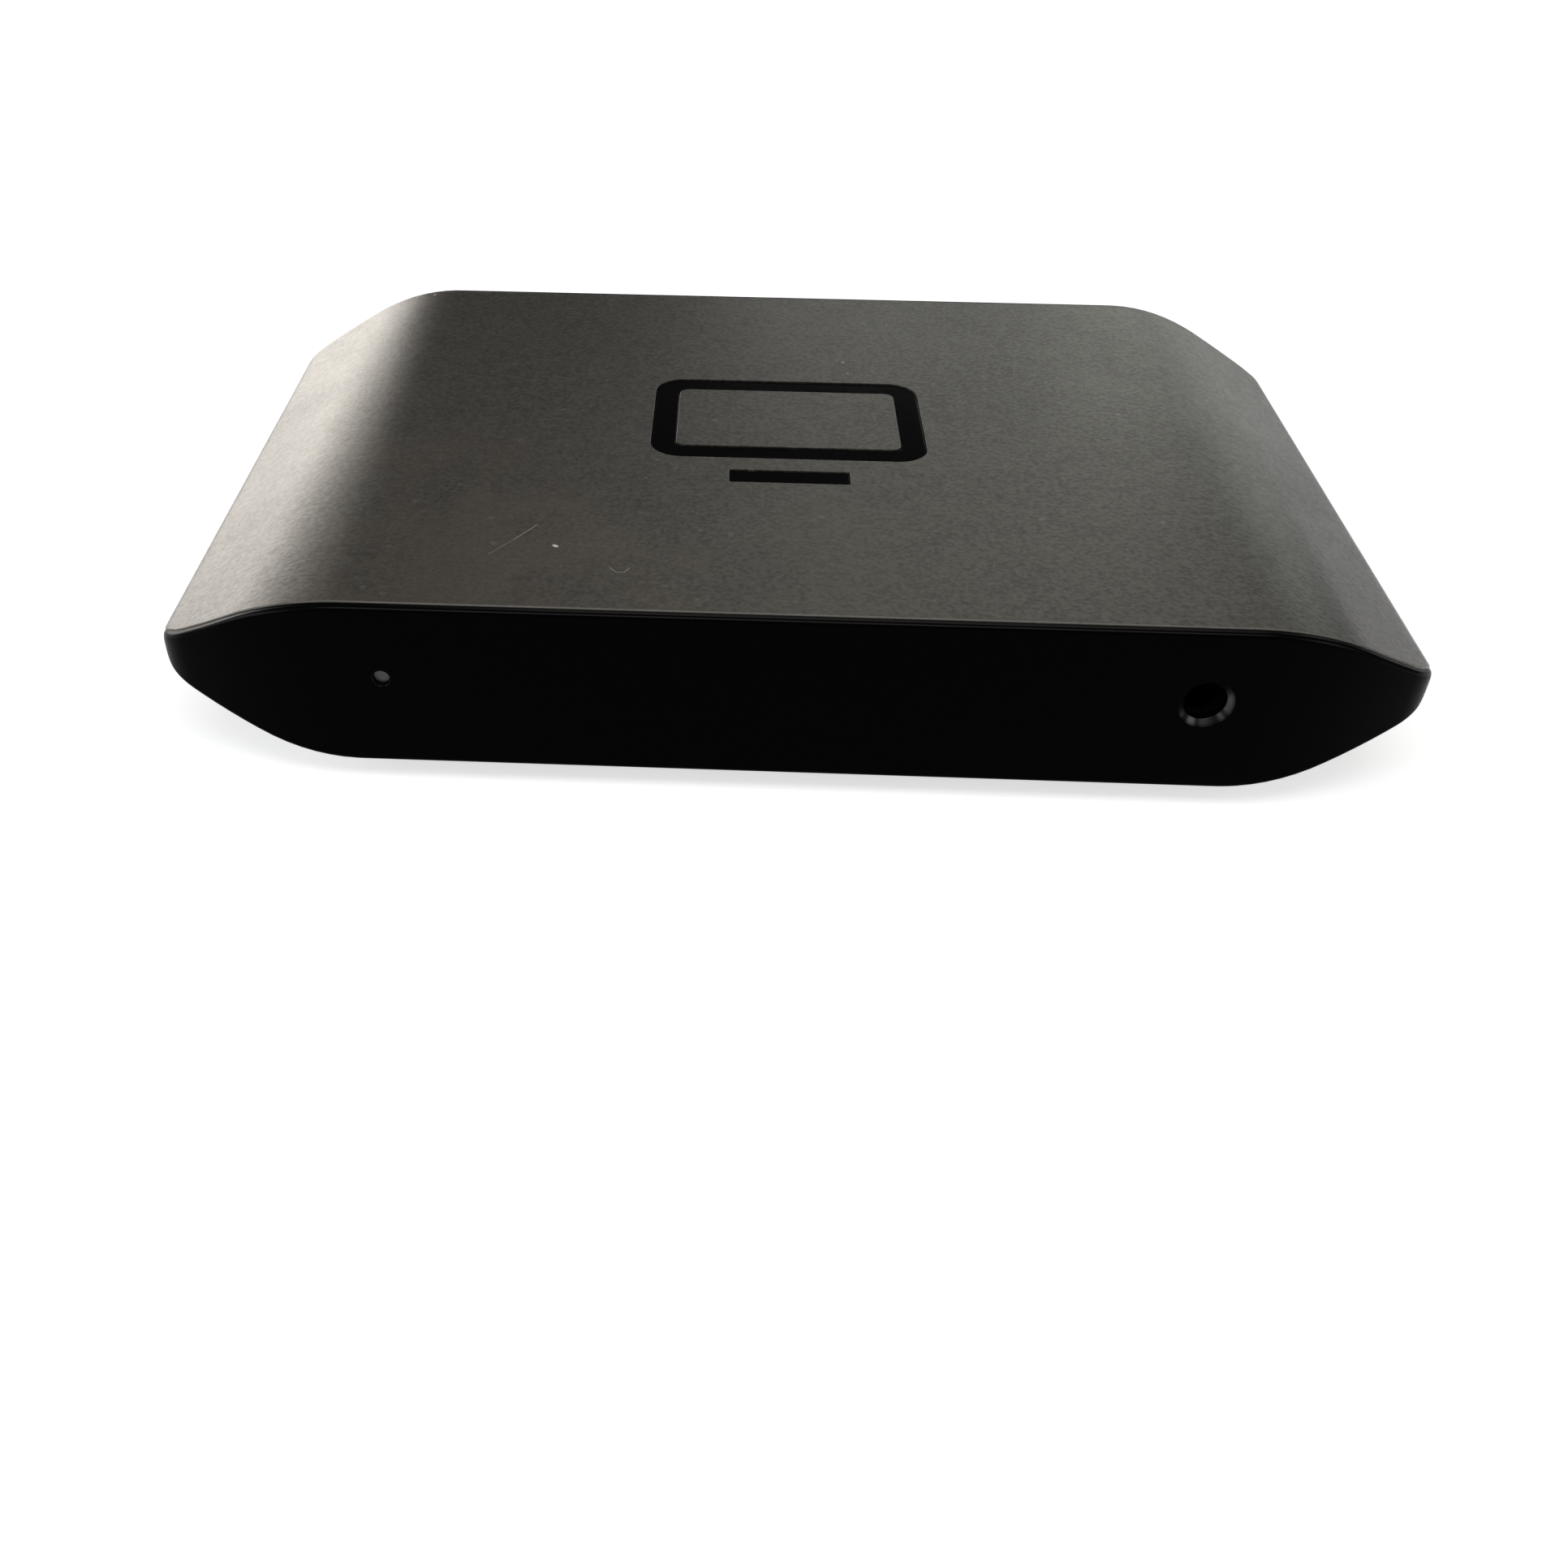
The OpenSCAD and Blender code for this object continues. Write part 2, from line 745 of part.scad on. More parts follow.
module usb_c_tongue() {
    y1 = half_d - mouth_in;
    y0 = y1 - usb_l;
    color([0.08, 0.08, 0.08])
    translate([usb_x, 0, usb_z])
        difference() {
            union() {
                along_y(y0, y0 + usb_block_l) usb_outline(-slack);
                box_at(
                    [0, (y0 + y1 - usb_tongue_in) / 2, -usb_tongue_t / 2],
                    [usb_tongue_w, y1 - usb_tongue_in - y0, usb_tongue_t]
                );
            }
            for (z = [usb_tongue_t / 2, -usb_tongue_t / 2 - 0.2])
                box_at([0, y0 + usb_block_l / 2, z], [usb_tongue_w - 0.3, usb_block_l + 1, 0.2]);
        }
}

module usb_c_contacts() {
    y0 = half_d - mouth_in - usb_l;
    tip = half_d - mouth_in - usb_tongue_in - 0.4;
    low = board_top - usb_z;
    t = 0.1;
    color([0.83, 0.68, 0.36])
    translate([usb_x, 0, usb_z]) {
        contact_row(12, usb_pitch, 0.22, t, tip, y0 - 1.3, usb_tongue_t / 2, low);
        contact_row(12, usb_pitch, 0.22, t, tip, y0 - 0.4, -usb_tongue_t / 2 - t, low);
    }
}

// Body of the audio socket: a round nose for the panel hole and a block on the board
module audio_jack_body() {
    color([0.07, 0.07, 0.07])
    translate([front_hole_x, 0, 0])
        difference() {
            union() {
                box_at([0, jack_body_y + jack_l / 2, board_top], [jack_w, jack_l, jack_h]);
                translate([0, jack_front, hole_z])
                    rotate([-90, 0, 0]) cylinder(d = nose_d, h = jack_nose_l + 1);
            }
            translate([0, jack_front - 1, hole_z])
                rotate([-90, 0, 0]) cylinder(d = audio_bore_d, h = audio_bore_l + 1);
            translate([0, jack_front - bore_bevel, hole_z])
                rotate([-90, 0, 0])
                    cylinder(d1 = audio_bore_d + 4 * bore_bevel, d2 = audio_bore_d, h = 2 * bore_bevel);
            for (k = [0 : 1])
                box_at(
                    [(k * 2 - 1) * jack_w / 2, spring_y(k), hole_z - spring_w / 2 - slack],
                    [jack_w - audio_bore_d + 0.3, spring_l + 0.4, spring_w + 2 * slack]
                );
        }
}

function spring_y(k) = jack_body_y + 3 + k * 4.6;

// Bowed springs in the side windows of the audio socket
module audio_jack_contacts() {
    color([0.8, 0.78, 0.7])
    for (k = [0 : 1]) {
        s = k * 2 - 1;
        inner = audio_bore_d / 2 + 0.1;
        outer = jack_w / 2;
        translate([front_hole_x, spring_y(k), hole_z - spring_w / 2])
            linear_extrude(spring_w)
                polygon([
                    [s * outer, -spring_l / 2], [s * inner, 0], [s * outer, spring_l / 2],
                    [s * outer, spring_l / 2 - 2 * spring_t], [s * (inner + spring_t), 0],
                    [s * outer, -spring_l / 2 + 2 * spring_t]
                ]);
    }
}

// Clear rod that leads the lamp's light up from the board and out of the front
module light_pipe() {
    leg_z = board_top + led_h + 0.3;
    color([0.75, 0.77, 0.78])
    translate([-front_hole_x, 0, 0])
        difference() {
            union() {
                translate([0, -half_d + pipe_in, hole_z])
                    rotate([-90, 0, 0]) cylinder(r = pipe_r, h = pipe_leg_y + half_d - pipe_in);
                translate([0, -half_d + panel_t + 0.4, hole_z])
                    rotate([-90, 0, 0]) cylinder(r = collar_r, h = 1.2);
                translate([0, pipe_leg_y, leg_z])
                    cylinder(r = pipe_leg_r, h = hole_z + pipe_leg_r - leg_z);
            }
            translate([0, pipe_leg_y, hole_z])
                rotate([-45, 0, 0]) translate([-3, -4, 0.5]) cube([6, 8, 4]);
        }
}

module status_led() {
    color([0.9, 0.88, 0.7])
    translate([-front_hole_x, pipe_leg_y, board_top]) {
        box_at([0, 0, 0], [1.6, 0.8, led_h * 0.5]);
        cylinder(r = 0.38, h = led_h);
    }
}

// Flat chip package with a bevelled corner and a dimple by its first pin
module chip(size) {
    cut = min(size[0], size[1]) * 0.06;
    difference() {
        translate([0, 0, chip_lift])
            linear_extrude(size[2] - chip_lift)
                polygon([
                    [-size[0] / 2 + cut, size[1] / 2], [-size[0] / 2, size[1] / 2 - cut],
                    [-size[0] / 2, -size[1] / 2], [size[0] / 2, -size[1] / 2], [size[0] / 2, size[1] / 2]
                ]);
        translate([-size[0] / 2 + 2.5 * cut, size[1] / 2 - 2.5 * cut, size[2] - chip_lift])
            cylinder(r = cut, h = 1);
    }
}

// Row of solder pads or balls under a chip's edges
module chip_pads(size, count) {
    for (s = [-1, 1], i = [0 : count - 1]) {
        x = (i - (count - 1) / 2) * size[0] * 0.85 / count;
        box_at([x, s * (size[1] / 2 - 0.2), 0], [size[0] * 0.4 / count, 0.8, chip_lift + 0.05]);
    }
}

module chip_on_board(at, size, count) {
    translate([at[0], at[1], board_top]) {
        chip(size);
        chip_pads(size, count);
    }
}

module video_processor() {
    color([0.1, 0.1, 0.11]) chip_on_board(processor_at, processor_size, 12);
}

module thermal_pad() {
    color([0.45, 0.55, 0.62])
    translate([processor_at[0], processor_at[1], board_top + processor_size[2]])
        linear_extrude(pad_t)
            square([processor_size[0] - 2 * pad_in, processor_size[1] - 2 * pad_in], center = true);
}

// Finned heat sink with notched corners
module heat_sink() {
    z0 = board_top + processor_size[2] + pad_t;
    pitch = (sink_w - fin_t) / (sink_fins - 1);
    color([0.5, 0.52, 0.55])
    translate([processor_at[0], processor_at[1], z0])
        difference() {
            union() {
                box_at([0, 0, 0], [sink_w, sink_w, sink_base_t]);
                for (i = [0 : sink_fins - 1])
                    box_at([-sink_w / 2 + fin_t / 2 + i * pitch, 0, 0], [fin_t, sink_w, sink_h]);
            }
            box_at([0, 0, sink_base_t], [sink_w + 2, sink_notch, sink_h]);
        }
}

module memory_chip_a() {
    color([0.1, 0.1, 0.11]) chip_on_board(memory_at[0], memory_size, 8);
}

module memory_chip_b() {
    color([0.1, 0.1, 0.11]) chip_on_board(memory_at[1], memory_size, 8);
}

module video_receiver() {
    color([0.1, 0.1, 0.11]) chip_on_board(receiver_at, receiver_size, 10);
}

module usb_controller() {
    color([0.1, 0.1, 0.11]) chip_on_board(controller_at, controller_size, 10);
}

module flash_chip() {
    color([0.1, 0.1, 0.11]) chip_on_board(flash_at, flash_size, 4);
}

module audio_codec() {
    color([0.1, 0.1, 0.11]) chip_on_board(codec_at, codec_size, 6);
}

// Metal-lidded crystals
module crystals() {
    color([0.75, 0.75, 0.76])
    for (p = crystal_at)
        translate([p[0], p[1], board_top]) {
            box_at([0, 0, 0], crystal_foot);
            box_at([0, 0, 0], crystal_lid);
        }
}

// Moulded power inductors with chamfered tops
module power_inductors() {
    color([0.3, 0.3, 0.31])
    for (p = inductor_at)
        translate([p[0], p[1], board_top]) {
            box_at([0, 0, 0], inductor_foot);
            box_at([0, 0, 0], inductor_top);
        }
}

// Round can capacitors on square bases
module bulk_capacitors() {
    color([0.7, 0.7, 0.72])
    for (p = can_at)
        translate([p[0], p[1], board_top]) {
            box_at([0, 0, 0], can_foot);
            cylinder(r = can_r, h = can_h);
        }
}

module ceramic_capacitors() {
    color([0.62, 0.5, 0.38])
    for (i = [0 : ceramic_count - 1], s = [-1, 1]) {
        x = processor_at[0] + (i - (ceramic_count - 1) / 2) * ceramic_pitch;
        box_at([x, processor_at[1] + s * ceramic_y, board_top], ceramic_size);
    }
}

module regulators() {
    color([0.1, 0.1, 0.11])
    for (p = regulator_at)
        chip_on_board(p, regulator_size, 3);
}

// Small surge protection arrays behind the video sockets
module surge_guards() {
    color([0.1, 0.1, 0.11])
    for (x = [hdmi_in_x, hdmi_out_x], s = [-1, 1])
        chip_on_board([x + s * guard_x, guard_y], guard_size, 4);
}

top_cover();
base_cover();
front_panel();
rear_panel();
emblem_inlay();
foot_front_left();
foot_front_right();
foot_rear_left();
foot_rear_right();
case_screws();
circuit_board();
board_screws();
hdmi_in_shell();
hdmi_in_tongue();
hdmi_in_contacts();
hdmi_out_shell();
hdmi_out_tongue();
hdmi_out_contacts();
usb_c_shell();
usb_c_tongue();
usb_c_contacts();
audio_jack_body();
audio_jack_contacts();
light_pipe();
status_led();
video_processor();
thermal_pad();
heat_sink();
memory_chip_a();
memory_chip_b();
video_receiver();
usb_controller();
flash_chip();
audio_codec();
crystals();
power_inductors();
bulk_capacitors();
ceramic_capacitors();
regulators();
surge_guards();
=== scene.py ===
from functools import cache
from math import atan, cos, hypot, pi, radians, sin, tan

import bmesh
import bpy
import numpy as np
from bpy.props import FloatProperty, FloatVectorProperty, PointerProperty
from mathutils import Matrix, Vector


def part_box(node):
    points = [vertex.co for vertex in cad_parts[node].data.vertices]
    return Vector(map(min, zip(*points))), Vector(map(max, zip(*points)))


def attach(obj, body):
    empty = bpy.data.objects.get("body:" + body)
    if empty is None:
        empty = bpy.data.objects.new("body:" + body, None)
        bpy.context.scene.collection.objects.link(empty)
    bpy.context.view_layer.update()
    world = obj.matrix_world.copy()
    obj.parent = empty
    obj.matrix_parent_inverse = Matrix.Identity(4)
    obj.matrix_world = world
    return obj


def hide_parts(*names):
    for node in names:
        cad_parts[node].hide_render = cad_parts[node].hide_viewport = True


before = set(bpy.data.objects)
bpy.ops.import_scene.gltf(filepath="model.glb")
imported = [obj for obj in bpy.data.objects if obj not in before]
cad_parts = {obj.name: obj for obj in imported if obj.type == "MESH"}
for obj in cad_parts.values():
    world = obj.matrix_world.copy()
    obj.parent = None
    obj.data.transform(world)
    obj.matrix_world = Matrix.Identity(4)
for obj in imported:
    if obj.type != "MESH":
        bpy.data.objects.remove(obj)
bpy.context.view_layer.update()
COVER_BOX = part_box("top_cover")
BASE_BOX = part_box("base_cover")
PANEL_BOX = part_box("front_panel")

bl_info = {
    "name": "Video capture box",
    "version": (1, 0, 0),
    "blender": (4, 5, 0),
    "location": "3D View > Sidebar > Capture box",
    "description": "Moulded housing, end panels, sockets, feet and finishes of a video capture box",
    "category": "Object",
}

MM = 0.001
WELD, SLIVER = 2e-7, 1e-8  # metres: points that close become one, edges that short go
SLACK = 1e-4  # millimetres of play when grid lines are matched to a window
FARTHEST, HALVINGS = 60.0, 46  # millimetres that a ray is searched, and the steps of the search
FEET = ("foot_front_left", "foot_front_right", "foot_rear_left", "foot_rear_right")
BESIDE = 0.03  # millimetres between a rounded edge and the ring that keeps the face beside it flat


def length(name, about, default):
    """A length property in metres."""
    return FloatProperty(
        name=name, description=about, default=default, min=0.0, precision=5, unit="LENGTH"
    )


def colour(name, about, default):
    """A colour property, in linear light."""
    return FloatVectorProperty(
        name=name, description=about, default=default, size=3, min=0.0, max=1.0, subtype="COLOR"
    )


def power(name, about, default):
    """A lamp's power, in watts."""
    return FloatProperty(name=name, description=about, default=default, unit="POWER")


class HousingSizes(bpy.types.PropertyGroup):
    """Sizes of the housing; the section is six-sided, and its ends sweep back at the corners."""

    width: length("Width", "Side nose to side nose", COVER_BOX[1].x - COVER_BOX[0].x)
    depth: length("Depth", "Front face to rear face", 2 * abs(PANEL_BOX[0].y))
    nose_z: length("Nose height", "Height of the side noses over the floor", COVER_BOX[0].z)
    top_z: length("Top height", "Height of the flat top over the floor", COVER_BOX[1].z)
    bottom_z: length("Bottom height", "Height of the flat bottom over the floor", BASE_BOX[0].z)
    top_slope: FloatProperty(
        name="Upper slope", description="Angle of the upper slopes", default=radians(28), subtype="ANGLE"
    )
    bottom_slope: FloatProperty(
        name="Lower slope", description="Angle of the lower slopes", default=radians(25), subtype="ANGLE"
    )
    nose_r: length("Nose radius", "Radius of the side noses", 0.0023)
    shoulder_r: length("Shoulder radius", "Radius between the flats and the slopes", 0.022)
    wall: length("Wall", "Thickness of the cover and the base", 0.0016)
    corner_w: length("Corner width", "Width of the corner that sweeps back", 0.0102)
    corner_d: length("Corner depth", "Depth of the corner that sweeps back", 0.0044)
    corner_r: length("Corner radius", "Radius of the tight end of the sweep", 0.0054)
    cover_edge: length("Cover edge", "Rounding of the cover's open ends", 0.00016)
    seam_edge: length("Seam edge", "Rounding along the side seams", 0.00014)


class PanelSizes(bpy.types.PropertyGroup):
    """Sizes of the two end panels."""

    lip: length("Rim thickness", "Thickness of the rim that covers the housing end", 0.0008)
    thickness: length("Plug depth", "Full thickness where the panel plugs in", 0.0022)
    reveal: length("Reveal", "Set-in of the panel outline from the housing outline", 0.00012)
    plug_gap: length("Plug gap", "Gap between the plug and the housing wall", 0.00012)
    rim_r: length("Rim rounding", "Radius of the rounded front edge", 0.00042)
    lamp_d: length("Lamp hole", "Diameter of the lamp hole", 0.0015)
    lamp_bevel: length("Lamp bevel", "Rounding of the lamp hole's edge", 0.00012)
    audio_d: length("Audio hole", "Diameter of the audio hole inside its bevel", 0.0036)
    audio_bevel: length("Audio bevel", "Width of the straight bevel round the audio hole", 0.00055)
    hole_x: length("Hole distance", "Distance of both holes from the middle", 0.035)
    hole_z: length("Hole height", "Height of both holes over the floor", 0.0109)


class SignSizes(bpy.types.PropertyGroup):
    """Sizes of the screen sign that lies in the cover."""

    width: length("Sign width", "Width of the screen frame", 0.027)
    height: length("Sign height", "Height of the screen frame", 0.018)
    stroke: length("Stroke", "Width of the strokes", 0.0024)
    pocket: length("Pocket depth", "Depth of the pocket that the sign lies in", 0.0007)
    sunk: length("Sunk", "Depth of the sign's face under the cover", 0.00015)


class Finishes(bpy.types.PropertyGroup):
    """Colours of the finishes."""

    cover: colour("Cover grey", "Matte warm grey of the cover", (0.024, 0.0226, 0.0192))
    base: colour("Base black", "Moulded black of the base", (0.0075, 0.0075, 0.008))
    panel: colour("Panel black", "Satin black of the end panels", (0.0011, 0.0009, 0.0011))
    sign: colour("Sign black", "Gloss black of the sign", (0.0012, 0.0012, 0.0014))
    rubber: colour("Foot rubber", "Dark grey of the feet", (0.012, 0.012, 0.012))
    steel: colour("Socket steel", "Nickel-plated steel of the socket shells", (0.62, 0.61, 0.58))
    gold: colour("Contact gold", "Plating of the contacts", (0.78, 0.52, 0.2))
    board: colour("Board green", "Solder mask of the circuit board", (0.008, 0.05, 0.022))


class StageSettings(bpy.types.PropertyGroup):
    """Light and floor."""

    floor: colour("Floor", "Colour of the floor", (0.86, 0.86, 0.86))
    lift: FloatProperty(
        name="White lift", description="Light that lifts the floor to white in view", default=0.66
    )
    room: FloatProperty(
        name="Room light", description="Strength of the even light of the room", default=0.07
    )
    window: power("Window", "Power of the low window, rear left", 1.56)
    side: power("Side light", "Power of the strip light, left", 1.25)
    rear: power("Rear light", "Power of the narrow light, rear", 0.115)
    over: power("Over light", "Power of the light, high at the rear", 0.37)
    low: power("Low light", "Power of the low light, rear right", 0.23)
    edge: power("Edge light", "Power of the lowest light, right", 0.012)
    fill: power("Fill light", "Power of the light, front right", 0.5)
    top: power("Top light", "Power of the light overhead", 1.5)


def mm(length_m):
    """Metres to millimetres; all surfaces are worked out in millimetres."""
    return length_m / MM


# Outlines


def unit(v):
    """Vectors over their lengths."""
    return v / np.linalg.norm(v, axis=-1, keepdims=True)


def half_section(rise, slope, nose_x, nose_r, bend_r, flat_x, seam):
    """Right half of the section above the noses, from the middle of the flat out to the seam.

    Flat line at height rise, arc of bend_r that turns by the slope, straight slope, arc of nose_r,
    and last a quarter arc of radius seam that turns in to the seam line. Returns points, normals.
    """
    tip = nose_x + (nose_r - rise * cos(slope)) / sin(slope)
    bend_x = tip - bend_r * tan(slope / 2)
    flat = np.stack([flat_x[flat_x < bend_x], np.full((flat_x < bend_x).sum(), rise)], 1)
    turn = np.linspace(0, slope, 19)
    bend = np.stack([bend_x + bend_r * np.sin(turn), rise - bend_r * (1 - np.cos(turn))], 1)
    nose_turn = np.linspace(slope, pi / 2 - seam / nose_r, 15)
    nose = nose_r * np.stack([np.sin(nose_turn), np.cos(nose_turn)], 1) + [nose_x, 0]
    along = np.linspace(0, 1, 8)[1:-1, None]
    straight = bend[-1] * (1 - along) + nose[0] * along
    roll = np.linspace(0, pi / 2, 5)[1:]
    lip = np.stack([nose[-1, 0] - seam * (1 - np.cos(roll)), seam * (1 - np.sin(roll))], 1)
    points = np.concatenate([flat, bend, straight, nose, lip])
    normals = np.concatenate([
        np.tile([0.0, 1.0], (len(flat), 1)),
        np.stack([np.sin(turn), np.cos(turn)], 1),
        np.tile([sin(slope), cos(slope)], (len(straight), 1)),
        np.stack([np.sin(nose_turn), np.cos(nose_turn)], 1),
        np.tile([1.0, 0.0], (len(lip), 1)),
    ])
    return points, normals


def mirrored(right):
    """A right half-path joined to its mirror image, from the left end to the right end."""
    return np.concatenate([right[:0:-1] * [-1, 1], right])


class Housing:
    """The housing's sizes in millimetres and its two ruling curves: section and swept ends."""

    def __init__(self, sizes):
        self.half_w = mm(sizes.width) / 2
        self.half_d = mm(sizes.depth) / 2
        self.nose_z = mm(sizes.nose_z)
        self.rise = mm(sizes.top_z - sizes.nose_z)
        self.drop = mm(sizes.nose_z - sizes.bottom_z)
        self.top_slope = sizes.top_slope
        self.bottom_slope = sizes.bottom_slope
        self.nose_r = mm(sizes.nose_r)
        self.bend_r = mm(sizes.shoulder_r)
        self.wall = mm(sizes.wall)
        self.corner = mm(sizes.corner_w), mm(sizes.corner_d), mm(sizes.corner_r)
        self.nose_x = self.half_w - self.nose_r

    def swept_back(self, x):
        """How far the housing's end lies back at x: level, long arc, short line, tight arc."""
        width, depth, tight = self.corner
        beyond, short_line = 0.05, 0.1
        side = self.half_w + beyond
        turn = atan(depth / width)
        tight_len = tight * tan((pi / 2 - turn) / 2)
        long_len = hypot(width, depth) - tight_len - short_line
        long_r = long_len / tan(turn / 2)
        start = side - width - long_len
        x = np.abs(x)
        run = np.clip(x - start, 0, long_r * sin(turn))
        arc = long_r - np.sqrt(long_r**2 - run**2)
        line = (x - side + width) * tan(turn)
        reach = np.clip(x - side + tight, 0, tight)
        end = depth + tight_len - np.sqrt(tight**2 - reach**2)
        back = np.where(x < start + long_r * sin(turn), arc, line)
        return np.where(x < side - tight_len * cos(turn), back, end)

    def height_at(self, x, inset, up):
        """Height of the section's edge over the noses at x, and its normal, for an outline set in."""
        rise, slope = (self.rise, self.top_slope) if up else (self.drop, self.bottom_slope)
        tip = self.nose_x + (self.nose_r - rise * cos(slope)) / sin(slope)
        bend_x = tip - self.bend_r * tan(slope / 2)
        bend_r, nose_r, side = self.bend_r - inset, self.nose_r - inset, np.sign(x)
        a = np.abs(x)
        on_bend = np.clip(a - bend_x, 0, bend_r * sin(slope))
        on_nose = np.clip(a - self.nose_x, nose_r * sin(slope), nose_r)
        bend = rise - self.bend_r + np.sqrt(bend_r**2 - on_bend**2)
        nose = np.sqrt(np.maximum(nose_r**2 - on_nose**2, 0))
        end = bend_x + bend_r * sin(slope)
        line = rise - self.bend_r + bend_r * cos(slope) - (a - end) * tan(slope)
        tail = self.nose_x + nose_r * sin(slope)
        z = np.where(a < end, bend, np.where(a < tail, line, nose))
        sine = np.where(a < end, on_bend / bend_r, np.where(a < tail, sin(slope), on_nose / nose_r))
        normal = np.stack([side * sine, np.sqrt(1 - sine**2)], -1)
        sign = 1 if up else -1
        return np.stack([x, sign * z], -1), normal * [1, sign]


def box_distance(half_w, half_h, r):
    """Signed distance to a rounded rectangle about the origin."""

    def distance(p):
        """Distance from the rectangle of the corners' centres, inside it to its nearest side, less r."""
        q = np.abs(p) - [half_w - r, half_h - r]
        return np.linalg.norm(np.maximum(q, 0), axis=-1) + np.minimum(q.max(-1), 0) - r

    return distance


def convex_distance(corners, r):
    """Signed distance to a rounded convex outline given by its corners, anticlockwise."""
    corners = np.asarray(corners, float)
    run = unit(np.roll(corners, -1, 0) - corners)
    out = np.stack([run[:, 1], -run[:, 0]], 1)
    span = np.linalg.norm(np.roll(corners, -1, 0) - corners, axis=1)
    turn = np.arccos(np.clip((run * np.roll(run, 1, 0)).sum(1), -1, 1))
    cut = r * np.tan(turn / 2)
    core = corners - r * out + cut[:, None] * run
    span = span - cut - np.roll(cut, -1)

    def distance(p):
        """Distance from the core's nearest side, inside it to its nearest side's line, less r."""
        rel = p[..., None, :] - core
        across = (rel * out).sum(-1)
        along = np.clip((rel * run).sum(-1), 0, span)
        gap = np.linalg.norm(rel - along[..., None] * run, axis=-1).min(-1)
        return np.where((across <= 0).all(-1), across.max(-1), gap) - r

    return distance


def widened(distance, gap):
    """Distance to an outline moved out by gap."""
    return lambda p: distance(p) - gap


def cast(centre, edge, distance, level):
    """Where the rays from centre towards each edge point meet distance = level, by halving."""
    ray = unit(edge - centre)
    near = np.zeros(len(edge))
    far = np.full(len(edge), FARTHEST)
    for _ in range(HALVINGS):
        middle = (near + far) / 2
        inside = distance(ray * middle[:, None]) < level
        near, far = np.where(inside, middle, near), np.where(inside, far, middle)
    return centre + ray * near[:, None]


# Meshes


def grid_faces(rows, columns, wrap_rows=False, wrap_columns=False, keep=None):
    """Quads of a grid of rows by columns of points; keep masks single quads."""
    index = np.arange(rows * columns).reshape(rows, columns)
    if wrap_rows:
        index = np.concatenate([index, index[:1]])
    if wrap_columns:
        index = np.concatenate([index, index[:, :1]], 1)
    quads = np.stack([index[:-1, :-1], index[1:, :-1], index[1:, 1:], index[:-1, 1:]], -1)
    return quads[keep] if keep is not None else quads.reshape(-1, 4)


class Surface:
    """Grids collected into one mesh; points in millimetres."""

    def __init__(self):
        self.points, self.faces, self.count = [], [], 0

    def add(self, points, faces):
        """Takes in points, and faces that count from the first of them."""
        points = np.asarray(points, float).reshape(-1, 3)
        self.points.append(points)
        self.faces.extend((np.asarray(f) + self.count).tolist() for f in faces)
        self.count += len(points)
        return self

    def grid(self, points, **options):
        """Takes in a grid of points with its quads."""
        return self.add(points, grid_faces(*points.shape[:2], **options))

    def piece(self, name, finish, node, sharp=38.0):
        """Welds the grids, turns the faces outwards and makes the piece that stands for a node.

        It rides on the root body. Edges that turn by more than sharp degrees stay sharp.
        """
        mesh = bpy.data.meshes.new(name)
        mesh.from_pydata(np.concatenate(self.points) * MM, [], self.faces)
        work = bmesh.new()
        work.from_mesh(mesh)
        bmesh.ops.remove_doubles(work, verts=work.verts, dist=WELD)
        bmesh.ops.dissolve_degenerate(work, edges=work.edges, dist=SLIVER)
        bmesh.ops.recalc_face_normals(work, faces=work.faces)
        work.to_mesh(mesh)
        work.free()
        mesh.shade_smooth()
        mesh.set_sharp_from_angle(angle=radians(sharp))
        mesh.materials.append(finish_named(finish))
        piece = bpy.data.objects.new(name, mesh)
        bpy.context.scene.collection.objects.link(piece)
        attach(piece, "root")
        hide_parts(node)
        return piece


def points_of(piece):
    """The x, y and z of a piece's points, in millimetres."""
    at = np.empty(len(piece.data.vertices) * 3, np.float32)
    piece.data.vertices.foreach_get("co", at)
    return at.reshape(-1, 3).T / MM


def paint(piece, name, values):
    """A named value at each point of a piece, for its finish."""
    piece.data.attributes.new(name, "FLOAT", "POINT").data.foreach_set("value", values)


def closed_rings(rings):
    """Rings of equal count stacked into one array; the last shrinks to its middle in two steps."""
    middle = rings[-1].mean(0)
    return np.stack([*rings, *(middle + (rings[-1] - middle) * k for k in (0.5, 0.0))])


def rays(count):
    """Unit vectors once round, evenly spaced."""
    turn = np.linspace(0, 2 * pi, count, endpoint=False)
    return np.stack([np.cos(turn), np.sin(turn)], 1)


def lifted(flat, z):
    """Plan points at a height."""
    return np.concatenate([flat, np.full((len(flat), 1), float(z))], 1)


def sunk_rings(edge, centre, distance, z, down, depth, rounding):
    """Rings from a window's edge to an outline's rounded brink, and on down its wall.

    The outline is where distance is 0; the brink is a quarter arc of the given rounding.
    """
    rel = edge - centre
    turn = np.linspace(0, pi / 2, 4)
    brink = [cast(np.zeros(2), rel, distance, rounding * (1 - sin(a))) + centre for a in turn]
    beside = cast(np.zeros(2), rel, distance, rounding + BESIDE) + centre
    rings = [lifted(edge * (1 - k) + beside * k, z) for k in (0.0, 0.3, 0.6, 0.85, 1.0)]
    rings += [lifted(p, z - down * rounding * (1 - cos(a))) for p, a in zip(brink, turn)]
    return rings + [lifted(brink[-1], z - down * d) for d in (rounding + BESIDE, depth - BESIDE, depth)]


